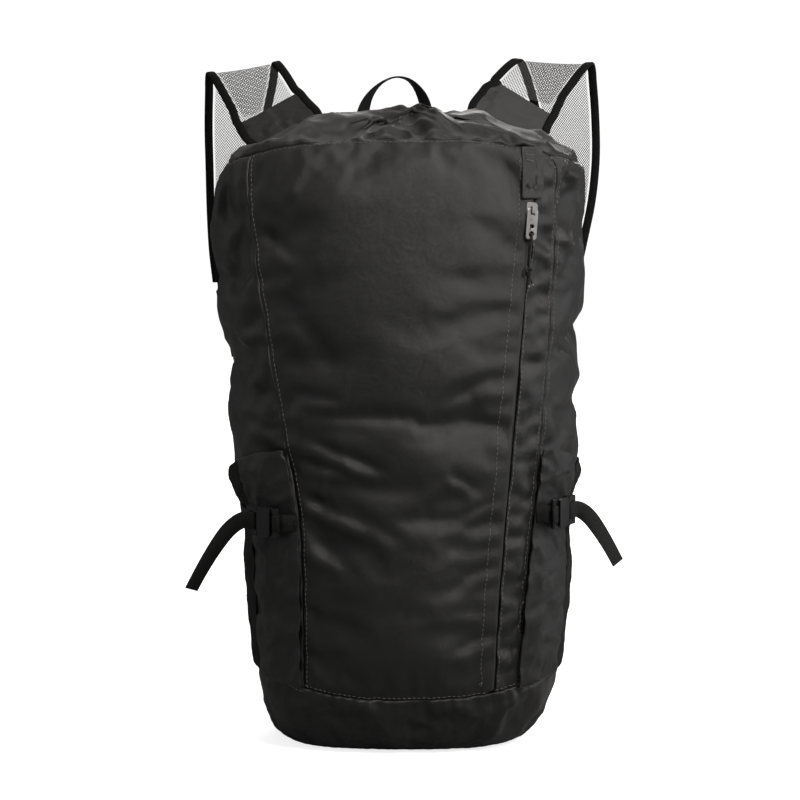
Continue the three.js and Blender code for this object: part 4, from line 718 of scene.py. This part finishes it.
def lay_flat(mesh, axes):
    """Tells the weave how a panel's cloth runs."""
    lay = mesh.verts.layers.float_vector.get("lay") or mesh.verts.layers.float_vector.new("lay")
    for vertex in mesh.verts:
        vertex[lay] = (vertex.co[axes[0]], vertex.co[axes[1]], 0)


def thicken(piece, thickness):
    """Gives a sheet its thickness, inwards."""
    wall = piece.modifiers.new("cloth", "SOLIDIFY")
    wall.thickness = thickness
    wall.offset = -1
    wall.use_even_offset = False


for index, node in enumerate(BODY_NODES):
    panel_mesh = body.copy()
    layer = panel_mesh.faces.layers.int["panel"]
    others = [face for face in panel_mesh.faces if face[layer] != index]
    bmesh.ops.delete(panel_mesh, geom=others, context="FACES")
    lay_flat(panel_mesh, LAYS[index])
    piece = new_object(f"cloth_{node}", panel_mesh)
    piece.data.materials.append(shell_cloth)
    thicken(piece, CLOTH)
    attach(piece, "pack")
    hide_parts(node)

# The stitching of the body
# Dull polyester thread, in lockstitch of three and a half millimetres, a few millimetres beside each seam.
THREAD = 0.00052
STITCH = 0.0026
STITCH_PITCH = 0.0036
STITCH_SIZE = Vector((THREAD, THREAD, STITCH))
thread = material("sewing_thread", (0.12, 0.115, 0.11), 0.5, Sheen_Weight=0.2)
finish = Finish(thread)
finish.bump(finish.clouds(2400, 2), 0.0001, 0.6)
finish.vary("Base Color", (0.09, 0.085, 0.08), (0.17, 0.16, 0.15), finish.clouds(25, 2))


def beside(line, offset, towards, surface):
    """A line on a surface, shifted sideways by an offset towards a point, at even stitch steps."""
    (line,) = evenly(STITCH_PITCH, line)
    shifted = []
    for i, place in enumerate(line):
        along = (line[min(i + 1, len(line) - 1)] - line[max(i - 1, 0)]).normalized()
        _, normal, _, _ = surface.find_nearest(place)
        sideways = along.cross(normal).normalized()
        if sideways.dot(towards - place) < 0:
            sideways = -sideways
        shifted.append(surface.find_nearest(place + offset * sideways)[0])
    return shifted


def grains(sizes_and_places):
    """A mesh of small rounded grains, one for each matrix."""
    ball = bmesh.new()
    bmesh.ops.create_uvsphere(ball, u_segments=6, v_segments=4, radius=1)
    corners = [v.co.copy() for v in ball.verts]
    sides = [[v.index for v in face.verts] for face in ball.faces]
    ball.free()
    places, faces = [], []
    for matrix in sizes_and_places:
        faces += [[len(places) + i for i in side] for side in sides]
        places += [matrix @ corner for corner in corners]
    flat = bpy.data.meshes.new("grains")
    flat.from_pydata(places, [], faces)
    mesh = bmesh.new()
    mesh.from_mesh(flat)
    bpy.data.meshes.remove(flat)
    return mesh


def grain(place, across, out, along, size):
    """Matrix of one grain with its three directions and its size along them."""
    turned = Matrix((across, out, along)).transposed().to_4x4()
    return Matrix.Translation(place) @ turned @ Matrix.Diagonal((*(0.5 * size), 1))


def row_of_stitches(line, surface):
    """Matrices of a row of stitches, one between each two places of a line."""
    row = []
    for a, b in zip(line, line[1:]):
        along = (b - a).normalized()
        spot, normal, _, _ = surface.find_nearest((a + b) / 2)
        across = along.cross(normal).normalized()
        row.append(grain(spot + 0.15 * THREAD * normal, across, normal, along, STITCH_SIZE))
    return row


CENTRES = {FRONT: Vector((-0.01, -0.11, 0.24)), STRIP: Vector((0.1, -0.1, 0.24)),
           RIGHT: Vector((0.14, -0.02, 0.24)), BACK: Vector((0, 0.06, 0.25)),
           LEFT: Vector((-0.14, -0.02, 0.24)), BASE: Vector((0, -0.03, 0)), TOP: Vector((0, -0.03, 0.47))}
# Rows of stitches: the seam they follow, the panel they lie on and how far from the seam.
ROWS = [
    {"seam": (FRONT, LEFT), "on": FRONT, "off": 0.0032},
    {"seam": (FRONT, SLOT), "on": FRONT, "off": 0.0105},
    {"seam": (STRIP, SLOT), "on": STRIP, "off": 0.0014},
    {"seam": (STRIP, RIGHT), "on": STRIP, "off": 0.0018},
    {"seam": (STRIP, RIGHT), "on": RIGHT, "off": 0.0032},
    {"seam": (FRONT, TOP), "on": FRONT, "off": 0.0024},
    {"seam": (STRIP, TOP), "on": STRIP, "off": 0.0024},
    {"seam": (RIGHT, TOP), "on": RIGHT, "off": 0.0024},
    {"seam": (LEFT, TOP), "on": LEFT, "off": 0.0024},
    {"seam": (FRONT, BASE), "on": FRONT, "off": 0.0024},
    {"seam": (STRIP, BASE), "on": STRIP, "off": 0.0024},
    {"seam": (RIGHT, BASE), "on": BASE, "off": 0.0024},
    {"seam": (LEFT, BASE), "on": BASE, "off": 0.0024},
    {"seam": (BACK, BASE), "on": BASE, "off": 0.0024},
    {"seam": (BACK, RIGHT), "on": BACK, "off": 0.003},
    {"seam": (BACK, LEFT), "on": BACK, "off": 0.003},
    {"seam": (BACK, SLOT), "on": BACK, "off": 0.004},
    {"seam": (TOP, SLOT), "on": TOP, "off": 0.004},
]
stitches = []
for row in ROWS:
    line = beside(seam_line(*row["seam"]), row["off"], CENTRES[row["on"]], body_surface)
    stitches += row_of_stitches(line, body_surface)
fit(grains(stitches), "body_stitches", thread)

# The front zip
# Tapes of fine twill behind the cloth carry a nylon coil, which a flap of the front panel covers: it shows as
# a dark slit. A folded patch closes its top, and a satin metal slider with a long tab stands just below.
TOOTH = Vector((0.0034, 0.0009, 0.0007))
TOOTH_PITCH = 0.0011
TAPE_DROP = 0.0007
TAPE_WIDTH = 0.0096
TAPE_THICK = 0.0005
TAPE_STEP = 0.003
EDGE_SHARP = math.radians(28)
HARD_ROUND = 0.00028
SOFT_CREASE = math.radians(50)
SOFT_LEVELS = 3
COVER_ROOM = 0.0026
GARAGE_CRUMPLE = {"height": 0.0005, "size": 0.012}
GARAGE_ROWS = (0.004, 0.0085)
GARAGE_MARGIN = 0.0045
GARAGE_PITCH = STITCH_PITCH / 1.4


def read_strip(node, sides=4):
    """Middles, directions across and widths of the rings that a tape's solid runs through, in order.

    The third shortest line in a ring of four is its width, and the longest in a rounder one."""
    solid = bmesh.new()
    solid.from_mesh(frame["nodes"][node].data)
    bmesh.ops.remove_doubles(solid, verts=solid.verts, dist=WELD)
    end = next(v for v in solid.verts if len(v.link_edges) == sides and all(
        len(e.other_vert(v).link_edges) != sides for e in v.link_edges))
    seen = {end}
    ring = [e.other_vert(end) for e in end.link_edges]
    middles, acrosses, widths = [], [], []
    while len(ring) == sides:
        seen.update(ring)
        pairs = [b.co - a.co for i, a in enumerate(ring) for b in ring[:i]]
        pairs.sort(key=lambda pair: pair.length)
        across = pairs[2] if sides == 4 else pairs[-1]
        if acrosses and across.dot(acrosses[-1]) < 0:
            across = -across
        middles.append(sum((v.co for v in ring), Vector()) / sides)
        acrosses.append(across.normalized())
        widths.append(across.length)
        ring = list({e.other_vert(v) for v in ring for e in v.link_edges} - seen)
    solid.free()
    return middles, acrosses, widths


def hard_copy(node, round_edge=HARD_ROUND):
    """A mesh of a hard node with its sharp edges rounded."""
    mesh = bmesh.new()
    mesh.from_mesh(frame["nodes"][node].data)
    bmesh.ops.remove_doubles(mesh, verts=mesh.verts, dist=WELD)
    bmesh.ops.dissolve_limit(mesh, angle_limit=math.radians(2), verts=mesh.verts, edges=mesh.edges)
    sharp = [e for e in mesh.edges if e.is_manifold and e.calc_face_angle() > EDGE_SHARP]
    bmesh.ops.bevel(mesh, geom=sharp, offset=round_edge, segments=2, profile=0.5, affect="EDGES",
                    clamp_overlap=True, material=-1)
    return mesh


def fit_hard(name, node, finish, body="pack"):
    """Fits a hard piece, its large flats left flat beside their rounded edges."""
    piece = fit(hard_copy(node), name, finish, [node], body)
    piece.modifiers.new("flats", "WEIGHTED_NORMAL").keep_sharp = True


def soft_copy(node):
    """A finer, rounded mesh of a soft node, its rims kept."""
    mesh = bmesh.new()
    mesh.from_mesh(frame["nodes"][node].data)
    bmesh.ops.remove_doubles(mesh, verts=mesh.verts, dist=WELD)
    bmesh.ops.join_triangles(mesh, faces=mesh.faces, angle_face_threshold=math.radians(35),
                             angle_shape_threshold=math.radians(50))
    crease = mesh.edges.layers.float.new("crease_edge")
    for edge in mesh.edges:
        if edge.is_manifold and edge.calc_face_angle() > SOFT_CREASE:
            edge[crease] = 0.9
    form = new_object("soft_form", mesh)
    rounder = form.modifiers.new("rounder", "SUBSURF")
    rounder.levels = rounder.render_levels = SOFT_LEVELS
    apply_modifiers(form)
    finer = bmesh.new()
    finer.from_mesh(form.data)
    bpy.data.objects.remove(form)
    return finer


def crumple(mesh, height, size, above=None):
    """Crumples a cloth that lies on the body, outwards only, and keeps it under what lies above it."""
    for vertex in mesh.verts:
        _, normal, _, _ = body_surface.find_nearest(vertex.co)
        fold = creases(vertex.co, size) + 0.4 * creases(vertex.co + Vector((2, 5, 1)), size / 2.3)
        out = height * max(0, fold + 0.5)
        if above:
            found, _, _, distance = above.ray_cast(vertex.co - 0.002 * normal, normal, 0.01)
            if found:
                out = min(out, max(0, distance - COVER_ROOM))
        vertex.co += out * normal


def flat_section(width, thick, corner_steps=3):
    """Section of a tape: flat on both faces, round at its edges."""
    points = []
    for side in (1, -1):
        for i in range(corner_steps + 1):
            turn = math.pi * (i / corner_steps - 0.5)
            edge = width / 2 - thick / 2 + thick / 2 * math.cos(turn)
            points.append((side * edge, side * thick / 2 * math.sin(turn)))
    return points


twill = material("zip_tape", (0.016, 0.016, 0.016), 0.8)
finish = Finish(twill)
finish.bump(finish.clouds(2600, 2), 0.0001)
finish.vary("Base Color", (0.012, 0.012, 0.012), (0.022, 0.022, 0.022), finish.clouds(900, 2))
nylon = material("zip_coil", (0.02, 0.02, 0.02), 0.35)
finish = Finish(nylon)
finish.vary("Roughness", 0.3, 0.45, finish.clouds(500, 2))
metal = material("satin_metal", (0.42, 0.41, 0.4), 0.3, Metallic=1.0)
finish = Finish(metal)
finish.bump(finish.clouds(1400, 3), 0.00003)
finish.vary("Roughness", 0.22, 0.42, finish.clouds(220, 4, 0.6))

front_strip_route = read_strip("front_zip_tape", 8)
coil_middles, coil_acrosses, _ = evenly(TOOTH_PITCH, *front_strip_route)
teeth = []
for i in range(1, len(coil_middles) - 1):
    along = (coil_middles[i + 1] - coil_middles[i - 1]).normalized()
    flat = (coil_acrosses[i] - coil_acrosses[i].dot(along) * along).normalized()
    out = along.cross(flat)
    teeth.append(grain(coil_middles[i], flat, out, along, TOOTH))
fit(grains(teeth), "front_zip_coil", nylon)
tape_middles, tape_acrosses, _ = evenly(TAPE_STEP, *front_strip_route)
tape_places = []
for i, (middle, across) in enumerate(zip(tape_middles, tape_acrosses)):
    along = tape_middles[min(i + 1, len(tape_middles) - 1)] - tape_middles[max(i - 1, 0)]
    inwards = along.cross(across).normalized()
    tape_places.append(middle + TAPE_DROP * math.copysign(1, inwards.y) * inwards)
tape_mesh = strip_mesh()
sweep(tape_mesh, flat_section(TAPE_WIDTH, TAPE_THICK), tape_places, tape_acrosses)
fit(tape_mesh, "front_tape", twill, ["front_zip_tape"])
fit_hard("front_slider", "zip_slider", metal)
fit_hard("front_tab", "zip_pull_tab", metal, "front_pull")

garage = soft_copy("zip_garage")
crumple(garage, **GARAGE_CRUMPLE)
lay_flat(garage, (0, 2))
garage_surface = BVHTree.FromBMesh(garage)
fit(garage, "garage_patch", shell_cloth, ["zip_garage"])
garage_low, garage_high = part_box("zip_garage")
garage_stitches = []
for drop in GARAGE_ROWS:
    z = garage_high.z - drop
    sides = (garage_low.x + GARAGE_MARGIN, garage_high.x - GARAGE_MARGIN)
    ends = [Vector((x, garage_low.y, z)) for x in sides]
    (line,) = evenly(GARAGE_PITCH, ends)
    line = [garage_surface.find_nearest(place)[0] for place in line]
    garage_stitches += row_of_stitches(line, garage_surface)
fit(grains(garage_stitches), "garage_stitches", thread)

# The main zip
# The bag opens over the wearer's side of the top: the same coil, round the back edge of the top panel, with
# its slider and short tab at the right.
TAPE_ROUND = 0.0001
FARTHEST_TAPE = 0.004
WIDEST_SLOT = 0.012
main_tape = hard_copy("main_zip_tape", TAPE_ROUND)
tape_surface = BVHTree.FromBMesh(main_tape)
fit(main_tape, "main_tape", twill, ["main_zip_tape"])
(back_lip,) = evenly(TOOTH_PITCH, seam_line(BACK, SLOT))
top_lip = seam_line(TOP, SLOT)
opposite = KDTree(len(top_lip))
for i, place in enumerate(top_lip):
    opposite.insert(place, i)
opposite.balance()
teeth = []
for a, b in zip(back_lip, back_lip[1:]):
    over, _, width = opposite.find(a)
    spot, out, _, away = tape_surface.find_nearest(a.lerp(over, 0.5))
    if away < FARTHEST_TAPE and width < WIDEST_SLOT:
        along = (b - a).normalized()
        flat = along.cross(out).normalized()
        teeth.append(grain(spot + 0.2 * TOOTH.y * out, flat, flat.cross(along), along, TOOTH))
fit(grains(teeth), "main_zip_coil", nylon)
fit_hard("main_slider", "main_zip_slider", metal)
fit_hard("main_tab", "main_zip_pull", metal, "main_pull")

# The side pockets
# In front a flat piece of the shell cloth, behind it a stretch knit that bellies out; their mouths slant down
# towards the wearer and are drawn in with an elastic binding.
PANEL_CRUMPLE = {"height": 0.0022, "size": 0.024}
BELLY_CRUMPLE = {"height": 0.0020, "size": 0.034}
KNIT_COURSES = 0.0011
KNIT_WALES = 0.0009


def tree_of(*nodes):
    """The surface of some nodes, to measure to."""
    mesh = bmesh.new()
    for node in nodes:
        mesh.from_mesh(frame["nodes"][node].data)
    surface = BVHTree.FromBMesh(mesh)
    mesh.free()
    return surface


knit = material("stretch_knit", (0.005, 0.0049, 0.0048), 0.85, Sheen_Weight=0.03, Specular_IOR_Level=0.2)
finish = Finish(knit)
warp, weft, _ = finish.lay()
rib = finish.math("MULTIPLY", finish.waves(warp, KNIT_COURSES), finish.waves(weft, KNIT_WALES))
finish.bump(rib, 0.00016)
finish.bump(finish.clouds(130, 3, 0.6), 0.0006, 0.5)
finish.vary("Base Color", (0.0035, 0.0034, 0.0033), (0.007, 0.0068, 0.0066), finish.clouds(260, 3))
for side in ("left", "right"):
    above = tree_of(f"compression_front_{side}", f"compression_rear_{side}", f"buckle_socket_{side}",
                    f"buckle_plug_{side}")
    panel = soft_copy(f"pocket_cloth_{side}")
    crumple(panel, **PANEL_CRUMPLE, above=above)
    lay_flat(panel, (1, 2))
    fit(panel, f"pocket_panel_{side}", shell_cloth, [f"pocket_cloth_{side}"])
    belly = soft_copy(f"pocket_knit_{side}")
    crumple(belly, **BELLY_CRUMPLE, above=above)
    lay_flat(belly, (1, 2))
    fit(belly, f"pocket_belly_{side}", knit, [f"pocket_knit_{side}"])

# The compression straps
# Twelve-millimetre polyester webbing, sewn into the seams beside each pocket and joined over it by a small
# side-release buckle; the free end hangs down and outwards from the buckle.
WEBBING_THICK = 0.0012
WEBBING_STEP = 0.0015
RIBS = 0.0012


def webbing(name, node, spacing=WEBBING_STEP):
    """A ribbed tape in place of a node's plain strip."""
    middles, acrosses, widths = evenly(spacing, *read_strip(node))
    mesh = strip_mesh()
    sweep(mesh, flat_section(max(widths), WEBBING_THICK), middles, acrosses)
    fit(mesh, name, strap_webbing, [node])


strap_webbing = material("webbing", (0.005, 0.005, 0.005), 0.6, Sheen_Weight=0.02, Specular_IOR_Level=0.25)
finish = Finish(strap_webbing)
along, across, _ = finish.lay()
rib = finish.math("MULTIPLY", finish.waves(along, RIBS), finish.waves(across, 2 * RIBS))
finish.bump(rib, 0.00018)
# The webbing's colour is lighter on its ribs and darker between them: painted shade in the grooves, laid over
# the relief.
finish.vary("Base Color", (0.003, 0.003, 0.003), (0.009, 0.0088, 0.0088), rib)
plastic = material("acetal", (0.009, 0.009, 0.0095), 0.3)
finish = Finish(plastic)
finish.bump(finish.clouds(1800, 3), 0.00002)
finish.vary("Roughness", 0.24, 0.4, finish.clouds(160, 3))
for side in ("left", "right"):
    for end in ("front", "rear"):
        webbing(f"webbing_{end}_{side}", f"compression_{end}_{side}")
    for half in ("socket", "plug"):
        fit_hard(f"{half}_{side}", f"buckle_{half}_{side}", plastic)

# The shoulder straps
# A single open net with no foam, edged with folded grosgrain, between a base of shell cloth sewn into the
# back seam and a ladder lock, from which twelve-millimetre webbing runs down to the foot of the back.
NET_CELL = 0.0023
YARN = 0.00062
BINDING_FLATNESS = 2.4
BINDING_STEP = 0.002
BINDING_RIBS = 0.0009
EDGE_STEP = 0.007
EDGE_INSET = 0.0018
BASE_CUT = 0.010
BASE_CRUMPLE = {"height": 0.0014, "size": 0.016}
LOOP_STEP = 0.0008
net = material("strap_net", (0.018, 0.018, 0.018), 0.6)
finish = Finish(net)
finish.bump(finish.clouds(3000, 2), 0.0001)
finish.vary("Base Color", (0.012, 0.012, 0.012), (0.03, 0.03, 0.03), finish.clouds(700, 2))
grosgrain = material("binding", (0.003, 0.003, 0.003), 0.7, Specular_IOR_Level=0.15)
finish = Finish(grosgrain)
along, across, _ = finish.lay()
rib = finish.waves(along, BINDING_RIBS)
finish.bump(rib, 0.0001)
# The binding's colour is lighter on its ribs and darker between them: painted shade in the grooves, laid over
# the relief.
finish.vary("Base Color", (0.002, 0.002, 0.002), (0.005, 0.0049, 0.0049), rib)


def net_of(node, name, strip):
    """Real diamond holes, with yarn between them, in place of a strap's plain band."""
    middles, acrosses, widths = evenly(NET_CELL / 2, *strip)
    mesh = bmesh.new()
    count = round(max(widths) / NET_CELL)
    rows = []
    for i, (middle, across, width) in enumerate(zip(middles, acrosses, widths)):
        shares = [(j + 0.5 * (i % 2)) / count for j in range(count + 1 - i % 2)]
        rows.append([mesh.verts.new(middle + (share - 0.5) * width * across) for share in shares])
    for i in range(1, len(rows) - 1):
        for j in range(len(rows[i])):
            left = rows[i][j]
            k = j if i % 2 else j - 1
            if j + 1 < len(rows[i]):
                mesh.faces.new((left, rows[i - 1][k + 1], rows[i][j + 1], rows[i + 1][k + 1]))
    bmesh.ops.wireframe(mesh, faces=mesh.faces, thickness=YARN, offset=0, use_replace=True, use_boundary=True,
                        use_even_offset=False, use_relative_offset=False)
    return fit(mesh, name, net, [node])


def edge_of(mesh, start, heading, across):
    """Places down one side of a cloth, from a start: the outermost ones across, at even steps."""
    places = []
    deep = max((v.co - start).dot(heading) for v in mesh.verts)
    for i in range(int(deep / EDGE_STEP)):
        level = [v.co for v in mesh.verts if abs((v.co - start).dot(heading) - i * EDGE_STEP) < EDGE_STEP / 2]
        if level:
            places.append(max(level, key=lambda place: place.dot(across)) - EDGE_INSET * across)
    return places


for side in ("left", "right"):
    base = soft_copy(f"strap_base_{side}")
    base_middle = sum((v.co for v in base.verts), Vector()) / len(base.verts)
    strip = read_strip(f"strap_mesh_{side}")
    if (strip[0][-1] - base_middle).length < (strip[0][0] - base_middle).length:
        strip = [values[::-1] for values in strip]
    start = strip[0][0]
    heading = (start - strip[0][1]).normalized()
    meeting = start + BASE_CUT * heading
    net_of(f"strap_mesh_{side}", f"net_{side}", [[meeting, *strip[0]], [strip[1][0], *strip[1]],
                                                 [strip[2][0], *strip[2]]])
    for edge in ("inner", "outer"):
        node = f"strap_binding_{edge}_{side}"
        middles, acrosses, widths = read_strip(node)
        if (middles[-1] - start).length < (middles[0] - start).length:
            middles, acrosses, widths = middles[::-1], acrosses[::-1], widths[::-1]
        outwards = strip[1][0] if (middles[0] - start).dot(strip[1][0]) > 0 else -strip[1][0]
        down = edge_of(base, start, heading, outwards)[1:]
        middles = down[::-1] + middles
        acrosses, widths = [acrosses[0]] * len(down) + acrosses, [widths[0]] * len(down) + widths
        middles, acrosses, widths = evenly(BINDING_STEP, middles, acrosses, widths)
        mesh = strip_mesh()
        section = flat_section(max(widths), max(widths) / BINDING_FLATNESS, 4)
        sweep(mesh, section, middles, acrosses)
        fit(mesh, f"binding_{edge}_{side}", grosgrain, [node])
    bmesh.ops.bisect_plane(base, geom=[*base.verts, *base.edges, *base.faces], plane_co=meeting,
                           plane_no=-heading, clear_outer=True)
    bmesh.ops.holes_fill(base, edges=[e for e in base.edges if e.is_boundary])
    crumple(base, **BASE_CRUMPLE)
    lay_flat(base, (0, 2))
    fit(base, f"base_{side}", shell_cloth, [f"strap_base_{side}"])
    webbing(f"lower_webbing_{side}", f"strap_webbing_{side}")
    webbing(f"ladder_webbing_{side}", f"strap_loop_{side}", LOOP_STEP)
    fit_hard(f"ladder_{side}", f"strap_adjuster_{side}", plastic)

# The haul loop
# Ten-millimetre webbing, sewn flat into the back seam at both feet and arched up edge on.
webbing("loop_webbing", "haul_loop")
